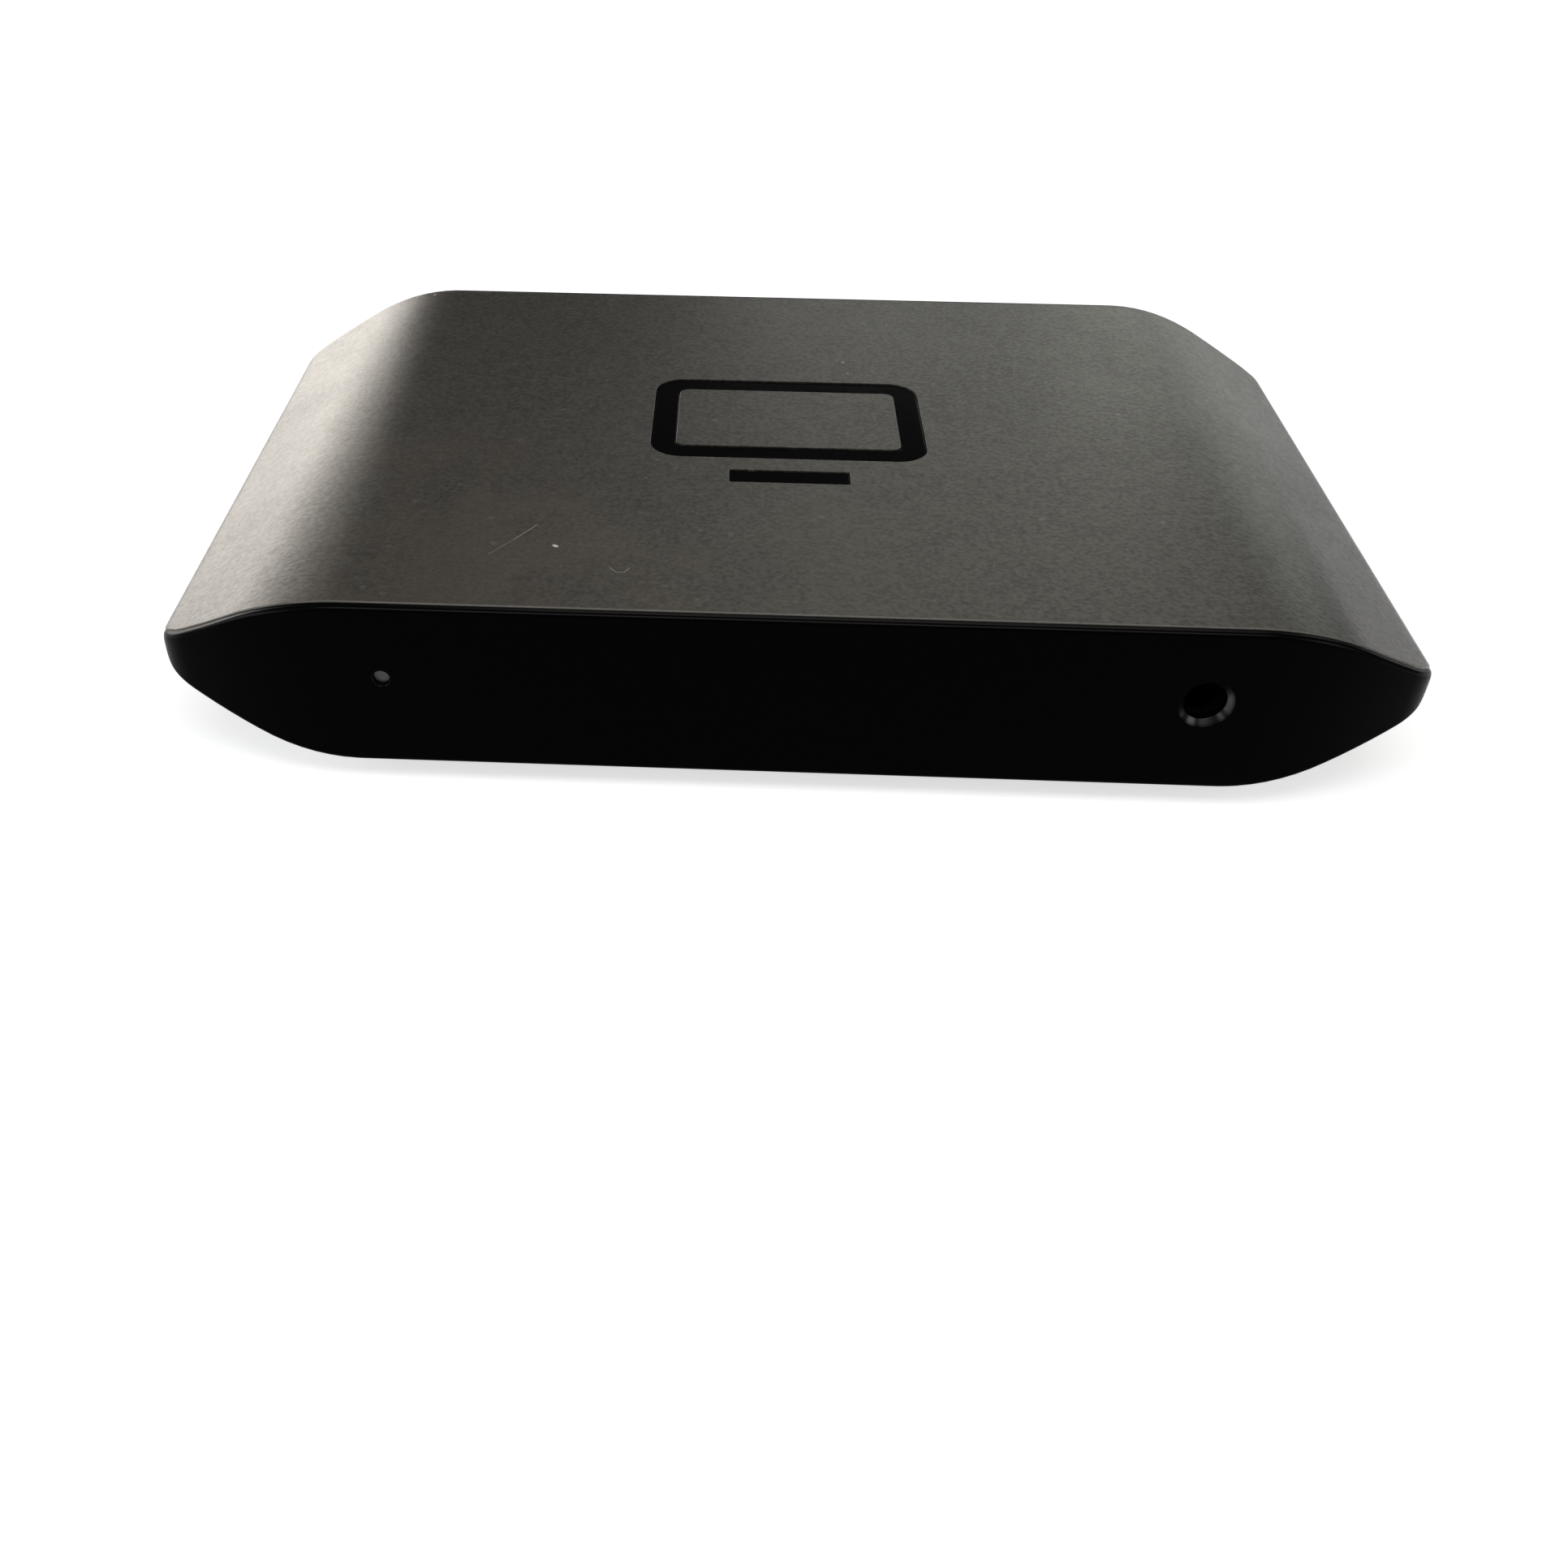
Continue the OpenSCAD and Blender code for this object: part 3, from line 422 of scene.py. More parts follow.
def window_edge(xs, ys):
    """The rim of a rectangular window in a grid, once round, through all its grid points."""
    bottom = np.stack([xs, np.full_like(xs, ys[0])], 1)
    right = np.stack([np.full_like(ys, xs[-1]), ys], 1)
    top = np.stack([xs[::-1], np.full_like(xs, ys[-1])], 1)
    left = np.stack([np.full_like(ys, xs[0]), ys[::-1]], 1)
    return np.concatenate([bottom[:-1], right[:-1], top[:-1], left[:-1]])


def spaced(lo, hi, step):
    """Even samples from lo to hi, ends included."""
    return np.linspace(lo, hi, max(2, round((hi - lo) / step) + 1))


def between_marks(marks, fine, coarse, limit):
    """Samples from -limit to limit: fine inside the marked spans, coarse outside, marks included."""
    cuts = np.unique(np.concatenate([[-limit, limit], np.ravel(marks)]))
    parts = []
    for lo, hi in zip(cuts[:-1], cuts[1:]):
        inside = any(a - 1e-6 <= lo and hi <= b + 1e-6 for a, b in marks)
        parts.append(spaced(lo, hi, fine if inside else coarse))
    return np.unique(np.round(np.concatenate(parts), 6))


def both_sides(samples):
    """The samples, their mirror images and zero, in order."""
    return np.unique(np.concatenate([samples, -samples, [0.0]]).round(6))


def shell(house, up, end_in, end_r, seam, flat_x, run_y, windows):
    """One half of the housing: a wall profile carried along the half section.

    The profile runs along y on the outside, rounds the open end, crosses the wall and returns on the
    inside; each of its points keeps its set-back from the swept end. Quads in windows are left out.
    """
    rise, slope = (house.rise, house.top_slope) if up else (house.drop, house.bottom_slope)
    right = flat_x[flat_x >= 0]
    points, normals = half_section(rise, slope, house.nose_x, house.nose_r, house.bend_r, right, seam)
    outer = mirrored(points)
    inner = mirrored(np.maximum(points - normals * house.wall, [-1e9, 0.0]))
    inner[[0, -1], 1] = 0.0
    reach = house.half_d - end_in
    turn = np.linspace(0, pi / 2, 6)[1:]
    cross = np.linspace(end_r, house.wall, 4)[1:]
    back = np.linspace(1, -1, 9)[1:]
    run_y = np.concatenate([[run_y[0], run_y[0] + BESIDE], run_y[1:-1], [run_y[-1] - BESIDE, run_y[-1]]])
    run_k = run_y / (reach - end_r)
    depth = np.concatenate([
        np.zeros(len(run_k)), end_r * (1 - np.cos(turn)), cross, np.full(len(back), house.wall),
        cross[-2::-1], end_r * (1 - np.cos(turn[::-1])),
    ])
    setback = np.concatenate([
        np.full(len(run_k), end_r), end_r * (1 - np.sin(turn)), np.zeros(len(cross) * 2 + len(back) - 1),
        end_r * (1 - np.sin(turn[::-1])),
    ])
    k = np.concatenate([
        run_k, np.ones(len(turn) + len(cross)), back, -np.ones(len(cross) - 1 + len(turn)),
    ])
    flat = outer[:, None] + (inner - outer)[:, None] * (depth / house.wall)[None, :, None]
    y = k * (reach - house.swept_back(flat[..., 0]) - setback)
    sign = 1 if up else -1
    points = np.stack([flat[..., 0], y, house.nose_z + sign * flat[..., 1]], -1)
    keep = np.ones((points.shape[0] - 1, points.shape[1]), bool)
    on_flat = np.abs(outer[:, 1] - rise) < 1e-9
    for x0, x1, y0, y1 in windows:
        u = on_flat[:-1] & on_flat[1:] & (outer[:-1, 0] > x0 - SLACK) & (outer[1:, 0] < x1 + SLACK)
        v = np.zeros(points.shape[1], bool)
        v[: len(run_y) - 1] = (run_y[:-1] > y0 - SLACK) & (run_y[1:] < y1 + SLACK)
        keep &= ~(u[:, None] & v[None, :])
    surface = Surface()
    surface.grid(points, wrap_columns=True, keep=keep)
    caps = np.arange(points.shape[1])
    surface.add(points[0], [caps]).add(points[-1], [caps])
    return surface


def window_lines(samples, lo, hi):
    """The grid lines from lo to hi."""
    return samples[(samples > lo - SLACK) & (samples < hi + SLACK)]


def sign_shapes(sign):
    """Centre, outline distance and inner outline distance of the screen frame and of its foot bar."""
    w, h, s = mm(sign.width), mm(sign.height), mm(sign.stroke)
    outer_r, inner_r, bar_r = 3.0, 1.0, 0.15
    bar_share, bar_below = 0.21, 1.6
    frame_at = np.array([0.0, s])
    bar_at = np.array([0.0, s - h / 2 - bar_below * s])
    outer = box_distance(w / 2, h / 2, outer_r)
    inner = box_distance(w / 2 - s, h / 2 - s, inner_r)
    bar = box_distance(w * bar_share, s / 2, bar_r)
    return frame_at, outer, inner, bar_at, bar


def panel(house, sizes, cuts, name, node, rear):
    """An end panel: two lofts of facing curves joined by a rolled rim, with tubes through its cuts.

    Each face is lofted from the lower to the upper edge of the section, and its depth follows the
    swept end. The rim turns back by a quarter arc, runs to the housing, steps in and ends in the plug.
    A cut is a window of the loft whose rings shrink from the window's edge to the cut's outline. It is
    given as the window's two sides, middle, outline distance, edge width and whether that edge is
    straight.
    """
    rim, reveal = mm(sizes.rim_r), mm(sizes.reveal)
    inset = reveal + rim
    limit = house.half_w - inset
    fine, coarse, bow_in = 0.3, 1.2, 2.0
    x = between_marks([cut[:2] for cut in cuts], fine, coarse, house.nose_x - bow_in)
    bow = limit - (limit - x[-1]) * (1 - np.sin(np.linspace(0, pi / 2, 22)))[1:]
    x = np.concatenate([-bow[::-1], x, bow])
    upper, upper_n = house.height_at(x, inset, True)
    lower, lower_n = house.height_at(x, inset, False)
    upper_n[[0, -1]] = lower_n[[0, -1]] = [[-1, 0], [1, 0]]
    lower[[0, -1]] = upper[[0, -1]] = np.stack([x[[0, -1]], [0, 0]], 1)
    v = np.concatenate([[0, 0.002], np.linspace(0, 1, 25)[1:-1], [0.998, 1]])

    def place(flat, back):
        """Section points to the panel's end, the given depth behind its face."""
        y = -(house.half_d - back - house.swept_back(flat[..., 0]))
        return np.stack([flat[..., 0], -y if rear else y, flat[..., 1] + house.nose_z], -1)

    def loft(low, high):
        """Straight lines from each lower to each upper point."""
        return low[:, None] * (1 - v)[None, :, None] + high[:, None] * v[None, :, None]

    surface = Surface()
    loop = np.concatenate([upper, lower[-2:0:-1]])
    loop_n = np.concatenate([upper_n, lower_n[-2:0:-1]])
    lip, plug = mm(sizes.lip), mm(sizes.thickness)
    step_in = inset - house.wall - mm(sizes.plug_gap)
    roll = np.linspace(0, pi / 2, 8)
    out = np.concatenate([rim * np.sin(roll), [rim, rim, step_in, step_in]])
    back = np.concatenate([rim * (1 - np.cos(roll)), [rim + BESIDE, lip, lip, plug]])
    rolled = np.stack([place(loop + loop_n * o, b) for o, b in zip(out, back)])
    surface.grid(rolled, wrap_columns=True)
    front = loft(lower, upper)
    rear_face = loft(lower + lower_n * step_in, upper + upper_n * step_in)
    keep = np.ones((len(x) - 1, len(v) - 1), bool)
    for x0, x1, centre, distance, bevel, straight in cuts:
        inside = (x[:-1] > x0 - SLACK) & (x[1:] < x1 + SLACK)
        keep[inside] = False
        low, high = np.flatnonzero(inside)[[0, -1]] + [0, 1]
        at = np.array([centre[0], centre[1] - house.nose_z])

        def rim_of(face):
            """The window's edge, once round."""
            part = face[low : high + 1]
            return np.concatenate([part[:-1, 0], part[-1, :-1], part[:0:-1, -1], part[0, :0:-1]])

        edge, far_edge = rim_of(front), rim_of(rear_face)
        turn = np.linspace(0, pi / 2, 5)
        inward, down = np.sin(turn), 1 - np.cos(turn)
        if straight:
            inward = down = np.array([0, BESIDE / bevel, 0.5, 1 - BESIDE / bevel, 1])
        brink = [cast(np.zeros(2), edge - at, distance, bevel * (1 - k)) + at for k in inward]
        beside = cast(np.zeros(2), edge - at, distance, bevel + BESIDE) + at
        rings = [place(edge * (1 - q) + beside * q, 0) for q in (0, 0.35, 0.7, 0.9, 1)]
        rings += [place(p, bevel * k) for p, k in zip(brink, down)]
        rings += [place(brink[-1], b) for b in (bevel + BESIDE, plug - BESIDE, plug)]
        rings += [place(brink[-1] * (1 - q) + far_edge * q, plug) for q in (0.5, 1.0)]
        surface.grid(np.stack(rings), wrap_columns=True)
    surface.grid(place(front, 0), keep=keep)
    surface.grid(place(rear_face, plug), keep=keep)
    piece = surface.piece(name, "panel_black", node, sharp=50)
    x, y, z = points_of(piece)
    on_face, fade, cut_gloss, rim_gloss = 0.01, 0.1, 1.0, 0.15
    polish = np.clip((house.half_d - house.swept_back(x) - np.abs(y) - on_face) / fade, 0, 1)
    flat = np.stack([x, z], 1)
    at_cut = [distance(flat - centre) < bevel + fade for _, _, centre, distance, bevel, _ in cuts]
    paint(piece, "polish", polish * np.where(np.any(at_cut, axis=0), cut_gloss, rim_gloss))


def revolved(profile, centre, steps):
    """A profile of radius and height turned about an upright axis."""
    r, z = np.asarray(profile, float).T[..., None]
    x, y = rays(steps).T
    return np.stack([centre[0] + r * x, centre[1] + r * y, np.repeat(z, steps, 1)], -1)


# Finishes


def new_group(name, inputs, outputs):
    """An empty shader node group with its sockets; returns the tree, its inputs and its output node."""
    tree = bpy.data.node_groups.new(name, "ShaderNodeTree")
    for label, kind, default in inputs:
        socket = tree.interface.new_socket(label, in_out="INPUT", socket_type=kind)
        if default is not None:
            socket.default_value = default
    for label, kind in outputs:
        tree.interface.new_socket(label, in_out="OUTPUT", socket_type=kind)
    return tree, tree.nodes.new("NodeGroupInput").outputs, tree.nodes.new("NodeGroupOutput").inputs


class Graph:
    """Short ways to add linked nodes to a tree."""

    def __init__(self, tree):
        self.tree = tree

    def set(self, socket, value):
        """Links a socket or sets a value; None leaves the default."""
        if isinstance(value, bpy.types.NodeSocket):
            self.tree.links.new(value, socket)
        elif value is not None:
            socket.default_value = value

    def math(self, how, a, b=0.0, c=None):
        node = self.tree.nodes.new("ShaderNodeMath")
        node.operation = how
        for socket, value in zip(node.inputs, (a, b, c)):
            self.set(socket, value)
        return node.outputs[0]

    def noise(self, vector, scale, detail=4.0, roughness=0.55, distortion=0.0):
        node = self.tree.nodes.new("ShaderNodeTexNoise")
        for label, value in (
            ("Vector", vector), ("Scale", scale), ("Detail", detail), ("Roughness", roughness),
            ("Distortion", distortion),
        ):
            self.set(node.inputs[label], value)
        return node.outputs[0]

    def cells(self, vector, scale, output="Distance"):
        node = self.tree.nodes.new("ShaderNodeTexVoronoi")
        self.set(node.inputs["Vector"], vector)
        self.set(node.inputs["Scale"], scale)
        return node.outputs[output]

    def ramp(self, value, low, high, to_low=0.0, to_high=1.0):
        """Smooth step from low to high, carried to the range from to_low to to_high."""
        node = self.tree.nodes.new("ShaderNodeMapRange")
        node.interpolation_type = "SMOOTHSTEP"
        for socket, v in zip(node.inputs[:5], (value, low, high, to_low, to_high)):
            self.set(socket, v)
        return node.outputs[0]

    def mix(self, factor, a, b):
        node = self.tree.nodes.new("ShaderNodeMix")
        node.data_type = "RGBA"
        self.set(node.inputs[0], factor)
        self.set(node.inputs[6], a)
        self.set(node.inputs[7], b)
        return node.outputs[2]

    def stretch(self, vector, scale=(1, 1, 1), turn=(0, 0, 0), move=(0, 0, 0)):
        node = self.tree.nodes.new("ShaderNodeMapping")
        self.set(node.inputs["Vector"], vector)
        node.inputs["Scale"].default_value = scale
        node.inputs["Rotation"].default_value = turn
        node.inputs["Location"].default_value = move
        return node.outputs[0]

    def split(self, vector):
        node = self.tree.nodes.new("ShaderNodeSeparateXYZ")
        self.set(node.inputs[0], vector)
        return node.outputs

    def group(self, tree, **values):
        node = self.tree.nodes.new("ShaderNodeGroup")
        node.node_tree = tree
        for label, value in values.items():
            self.set(node.inputs[label.replace("_", " ").capitalize()], value)
        return node.outputs

    def vector(self, how, a, b=None, scale=None):
        """A vector operation; sockets by position, as a name doesn't find those that are out of use."""
        node = self.tree.nodes.new("ShaderNodeVectorMath")
        node.operation = how
        for socket, value in zip(node.inputs, (a, b, None, scale)):
            self.set(socket, value)
        return node.outputs[1 if how in ("DOT_PRODUCT", "LENGTH") else 0]

    def painted(self, name):
        node = self.tree.nodes.new("ShaderNodeAttribute")
        node.attribute_name = name
        return node.outputs["Fac"]

    def bump(self, height, strength, distance):
        node = self.tree.nodes.new("ShaderNodeBump")
        node.inputs["Strength"].default_value = strength
        node.inputs["Distance"].default_value = distance
        self.set(node.inputs["Height"], height)
        return node.outputs[0]


def grain_group():
    """Moulded grain: tone that mottles between 0 and 1, a fine height, and slow clouds."""
    tree, given, out = new_group(
        "moulded_grain",
        [("Vector", "NodeSocketVector", None), ("Scale", "NodeSocketFloat", 1.0)],
        [("Tone", "NodeSocketFloat"), ("Height", "NodeSocketFloat"), ("Cloud", "NodeSocketFloat")],
    )
    g = Graph(tree)

    def layer(waves, *shape):
        """Noise of so many waves a metre at scale 1; shape is its detail, roughness and distortion."""
        return g.noise(given["Vector"], g.math("MULTIPLY", given["Scale"], waves), *shape)

    fine, middle, coarse = layer(5200.0, 2.0, 0.5), layer(2100.0, 2.0, 0.5), layer(800.0, 3.0, 0.6)
    tone = g.math("ADD", g.math("MULTIPLY", middle, 0.55), g.math("MULTIPLY", coarse, 0.25))
    g.set(out["Tone"], g.math("MULTIPLY_ADD", fine, 0.2, tone))
    g.set(out["Height"], g.math("MULTIPLY_ADD", middle, 0.7, g.math("MULTIPLY", fine, 0.3)))
    g.set(out["Cloud"], layer(55.0, 5.0, 0.62, 0.6))
    return tree


def dust_group():
    """Settled dust: small pale specks, each a cell's middle, kept for a share of the cells picked by
    each cell's random colour.
    """
    tree, given, out = new_group(
        "settled_dust",
        [
            ("Vector", "NodeSocketVector", None), ("Scale", "NodeSocketFloat", 300.0),
            ("Size", "NodeSocketFloat", 0.05), ("Share", "NodeSocketFloat", 0.2),
        ],
        [("Specks", "NodeSocketFloat")],
    )
    g = Graph(tree)
    near = g.cells(given["Vector"], given["Scale"])
    pick = g.split(g.cells(given["Vector"], given["Scale"], "Color"))
    dot = g.math("LESS_THAN", near, g.math("MULTIPLY", given["Size"], g.math("ADD", pick[1], 0.3)))
    chosen = g.math("LESS_THAN", pick[0], given["Share"])
    g.set(out["Specks"], g.math("MULTIPLY", dot, chosen))
    return tree


def scuff_group():
    """Hairline scuffs: thin level lines of stretched noise, broken up by a slow noise."""
    tree, given, out = new_group(
        "hairline_scuffs",
        [("Vector", "NodeSocketVector", None), ("Scale", "NodeSocketFloat", 1.0)],
        [("Lines", "NodeSocketFloat")],
    )
    g = Graph(tree)
    total = None
    for turn, move in ((0.5, 0.0), (-0.9, 3.1), (1.9, 7.7)):
        long = g.stretch(given["Vector"], (30, 420, 30), (0, 0, turn), (move, move, 0))
        wave = g.noise(long, given["Scale"], 2.0, 0.5)
        line = g.ramp(g.math("ABSOLUTE", g.math("SUBTRACT", wave, 0.5)), 0.0, 0.008, 1.0, 0.0)
        allow = g.ramp(g.noise(g.stretch(given["Vector"], move=(move, 0, 0)), 70.0, 2.0), 0.62, 0.72)
        line = g.math("MULTIPLY", line, allow)
        total = line if total is None else g.math("MAXIMUM", total, line)
    g.set(out["Lines"], total)
    return tree


def marks_group(marks):
    """Single marks of use on the flat top: distance to each short line, under the mark's half-width."""
    tree, given, out = new_group(
        "single_marks", [("Vector", "NodeSocketVector", None)], [("Marks", "NodeSocketFloat")]
    )
    g = Graph(tree)
    flat = g.vector("MULTIPLY", given["Vector"], (1, 1, 0))
    total = 0.0
    for start, end, width, strength in marks:
        start, end = Vector((*start, 0)) * MM, Vector((*end, 0)) * MM
        run = (end - start).normalized()
        from_start = g.vector("SUBTRACT", flat, start)
        along = g.math("MAXIMUM", g.vector("DOT_PRODUCT", from_start, run), 0.0)
        along = g.math("MINIMUM", along, (end - start).length)
        off = g.vector("LENGTH", g.vector("SUBTRACT", from_start, g.vector("SCALE", run, scale=along)))
        total = g.math("MAXIMUM", g.ramp(off, width * 0.4 * MM, width * MM, strength, 0.0), total)
    over = g.math("GREATER_THAN", g.split(given["Vector"])[2], COVER_BOX[1].z - 0.001)
    g.set(out["Marks"], g.math("MULTIPLY", total, over))
    return tree


MARKS = (  # start, end, half-width and strength of single marks on the top, in millimetres
    ((-20.95, -24.8), (-20.75, -24.95), 0.24, 1.0),
    ((-26.5, -26.6), (-24.6, -23.9), 0.07, 0.16),
    ((-24.6, -23.9), (-22.9, -21.2), 0.09, 0.25),
    ((-15.8, -28.4), (-15.2, -29.1), 0.1, 0.2),
    ((-15.2, -29.1), (-14.5, -29.1), 0.1, 0.2),
    ((-14.5, -29.1), (-14.1, -28.3), 0.1, 0.2),
    ((6.1, 16.85), (6.3, 16.95), 0.1, 0.7),
    ((6.5, 13.9), (6.7, 13.95), 0.09, 0.6),
)


PLASTICS = {  # colour, roughness, grain scale, grain strength, specular level
    "insulator_black": ((0.006, 0.006, 0.006), 0.42, 2.0, 0.2, 0.4),
    "chip_black": ((0.011, 0.011, 0.012), 0.55, 3.0, 0.3, 0.4),
    "inductor_grey": ((0.07, 0.07, 0.072), 0.6, 2.0, 0.5, 0.4),
    "pad_grey": ((0.16, 0.2, 0.24), 0.7, 2.0, 0.5, 0.3),
    "ceramic_tan": ((0.33, 0.22, 0.13), 0.45, 2.5, 0.3, 0.5),
}
METALS = {  # colour, roughness, stretch of the drawn lines, their strength
    "screw_steel": ((0.42, 0.42, 0.43), 0.3, (2500, 2500, 2500), 0.2),
    "sink_aluminium": ((0.5, 0.52, 0.55), 0.34, (4000, 300, 4000), 0.3),
    "crystal_lid": ((0.62, 0.62, 0.6), 0.26, (3000, 900, 3000), 0.15),
    "can_aluminium": ((0.66, 0.66, 0.67), 0.28, (1500, 1500, 4000), 0.15),
}


class Bench:
    """All finishes of the box, made once and handed out by name."""

    def __init__(self, colours):
        self.colours = colours
        self.grain, self.dust, self.scuffs = grain_group(), dust_group(), scuff_group()
        self.made = {}

    def start(self, name):
        """A new material; returns it, its graph, its Principled shader's inputs and coordinates."""
        material = bpy.data.materials.new(name)
        material.use_nodes = True
        tree = material.node_tree
        shader = tree.nodes["Principled BSDF"].inputs
        where = tree.nodes.new("ShaderNodeTexCoord").outputs["Object"]
        self.made[name] = material
        return material, Graph(tree), shader, where

    def get(self, name):
        """The finish of that name, from the tables or from its own function."""
        if name in self.made:
            return self.made[name]
        if name in PLASTICS:
            return self.plastic(name, *PLASTICS[name])
        if name in METALS:
            return self.metal(name, *METALS[name])
        return getattr(self, name)()

    def shade(self, rgb, k):
        """A colour times k, with its alpha."""
        return (rgb[0] * k, rgb[1] * k, rgb[2] * k, 1.0)

    def mottled(self, g, tone, rgb, dark, pale):
        """A colour that goes from a dark to a pale multiple of itself with a tone about a half."""
        return g.mix(g.ramp(tone, 0.3, 0.7), self.shade(rgb, dark), self.shade(rgb, pale))

    def cover_grey(self):
        """Matte warm grey with moulded grain, brown handling soil at the front left, dust, marks and a
        painted highlight along the open ends' edges.
        """
        material, g, shader, where = self.start("cover_grey")
        rgb = self.colours.cover
        tone, height, cloud = g.group(self.grain, vector=where, scale=1.0)
        body = self.mottled(g, tone, rgb, 0.5, 1.6)
        x, y, _ = g.split(where)
        to_left, to_front = g.ramp(x, -0.02, 0.02, 1.0, 0.25), g.ramp(y, -0.022, 0.012, 1.0, 0.15)
        handled = g.math("MULTIPLY", to_left, to_front)
        soil = g.math("MULTIPLY", g.ramp(cloud, 0.38, 0.62), handled)
        body = g.mix(soil, body, self.shade((rgb[0] * 2.0, rgb[1] * 1.75, rgb[2] * 1.65), 1.0))
        specks = g.group(self.dust, vector=where, scale=170.0, size=0.035, share=0.06)[0]
        motes = g.group(self.dust, vector=where, scale=1100.0, size=0.3, share=0.04)[0]
        lines = g.group(self.scuffs, vector=where, scale=1.0)[0]
        marks = g.group(marks_group(MARKS), vector=where)[0]
        body = g.mix(g.math("MULTIPLY", lines, 0.3), body, (0.16, 0.15, 0.14, 1))
        body = g.mix(g.math("MULTIPLY", motes, 0.14), body, (0.3, 0.29, 0.27, 1))
        body = g.mix(g.math("MAXIMUM", specks, marks), body, (0.75, 0.73, 0.68, 1))
        # Pale band along the open ends' edges: a painted highlight that stands in for the rounded edge's
        # glint
        body = g.mix(g.math("MULTIPLY", g.painted("rubbed"), 0.8), body, (0.22, 0.212, 0.195, 1))
        g.set(shader["Base Color"], body)
        rough = g.ramp(cloud, 0.3, 0.75, 0.39, 0.33)
        g.set(shader["Roughness"], g.math("MULTIPLY_ADD", tone, 0.1, g.math("SUBTRACT", rough, 0.05)))
        g.set(shader["Coat Weight"], g.ramp(tone, 0.34, 0.66, 0.14, 0.54))
        shader["Coat Roughness"].default_value = 0.36
        shader["Specular IOR Level"].default_value = 0.33
        shader["Specular Tint"].default_value = (1.0, 0.93, 0.8, 1.0)
        g.set(shader["Normal"], g.bump(height, 0.6, 0.00006))
        return material

    def plastic(self, name, rgb, rough, scale, strength, level):
        """Moulded plastic: grain in tone and height, and a little dust."""
        material, g, shader, where = self.start(name)
        tone, height, cloud = g.group(self.grain, vector=where, scale=scale)
        body = self.mottled(g, tone, rgb, 0.75, 1.35)
        motes = g.group(self.dust, vector=where, scale=700.0, size=0.07, share=0.02)[0]
        body = g.mix(g.math("MULTIPLY", motes, 0.25), body, (0.3, 0.29, 0.28, 1))
        g.set(shader["Base Color"], body)
        g.set(shader["Roughness"], g.ramp(cloud, 0.3, 0.7, rough - 0.05, rough + 0.08))
        shader["Specular IOR Level"].default_value = level
        g.set(shader["Normal"], g.bump(height, strength, 0.00004))
        return material

    def base_black(self):
        return self.plastic("base_black", self.colours.base, 0.5, 0.8, 0.4, 0.4)

    def panel_black(self):
        """Satin black with fine grain; the rolled rim and the edges of the holes are polished."""
        material, g, shader, where = self.start("panel_black")
        rgb = self.colours.panel
        tone, height, cloud = g.group(self.grain, vector=where, scale=1.4)
        g.set(shader["Base Color"], self.mottled(g, tone, rgb, 0.75, 1.35))
        g.set(shader["Roughness"], g.ramp(cloud, 0.3, 0.7, 0.21, 0.34))
        shader["Specular IOR Level"].default_value = 0.012
        g.set(shader["Coat Weight"], g.painted("polish"))
        shader["Coat Roughness"].default_value = 0.24
        g.set(shader["Normal"], g.bump(height, 0.08, 0.00004))
        return material

    def foot_rubber(self):
        """Rubber: dull, coarse grain and pale bloom in the clouds."""
        material, g, shader, where = self.start("foot_rubber")
        rgb = self.colours.rubber
        tone, height, cloud = g.group(self.grain, vector=where, scale=0.7)
        body = self.mottled(g, tone, rgb, 0.8, 1.3)
        body = g.mix(g.ramp(cloud, 0.5, 0.8, 0.0, 0.35), body, (0.07, 0.07, 0.068, 1))
        g.set(shader["Base Color"], body)
        g.set(shader["Roughness"], g.ramp(tone, 0.2, 0.8, 0.68, 0.85))
        shader["Specular IOR Level"].default_value = 0.35
        g.set(shader["Normal"], g.bump(height, 0.6, 0.00006))
        return material

    def emblem_black(self):
        """Gloss black inlay with fine polish marks and a few motes."""
        material, g, shader, where = self.start("emblem_black")
        rgb = self.colours.sign
        tone, height, cloud = g.group(self.grain, vector=where, scale=0.6)
        body = self.mottled(g, cloud, rgb, 0.8, 1.6)
        motes = g.group(self.dust, vector=where, scale=520.0, size=0.09, share=0.07)[0]
        body = g.mix(g.math("MULTIPLY", motes, 0.3), body, (0.3, 0.29, 0.27, 1))
        g.set(shader["Base Color"], body)
        lines = g.group(self.scuffs, vector=where, scale=1.6)[0]
        rough = g.ramp(tone, 0.2, 0.8, 0.07, 0.12)
        g.set(shader["Roughness"], g.math("ADD", rough, g.math("MULTIPLY", lines, 0.2)))
        shader["Specular IOR Level"].default_value = 0.05
        g.set(shader["Normal"], g.bump(height, 0.03, 0.00003))
        return material

    def metal(self, name, rgb, rough, stretch, strength):
        """Plated metal: fine drawn lines in tone and roughness, and dull clouds."""
        material, g, shader, where = self.start(name)
        drawn = g.noise(g.stretch(where, stretch), 1.0, 4.0, 0.6)
        cloud = g.noise(where, 240.0, 3.0)
        body = self.mottled(g, drawn, rgb, 0.82, 1.08)
        body = g.mix(g.ramp(cloud, 0.5, 0.8, 0.0, 0.4), body, self.shade(rgb, 0.7))
        g.set(shader["Base Color"], body)
        shader["Metallic"].default_value = 1.0
        g.set(shader["Roughness"], g.ramp(drawn, 0.25, 0.75, rough, rough + 0.14))
        g.set(shader["Normal"], g.bump(drawn, strength, 0.00002))
        return material

    def socket_steel(self):
        return self.metal("socket_steel", self.colours.steel, 0.24, (5000, 400, 5000), 0.15)

    def contact_gold(self):
        return self.metal("contact_gold", self.colours.gold, 0.18, (6000, 600, 6000), 0.1)

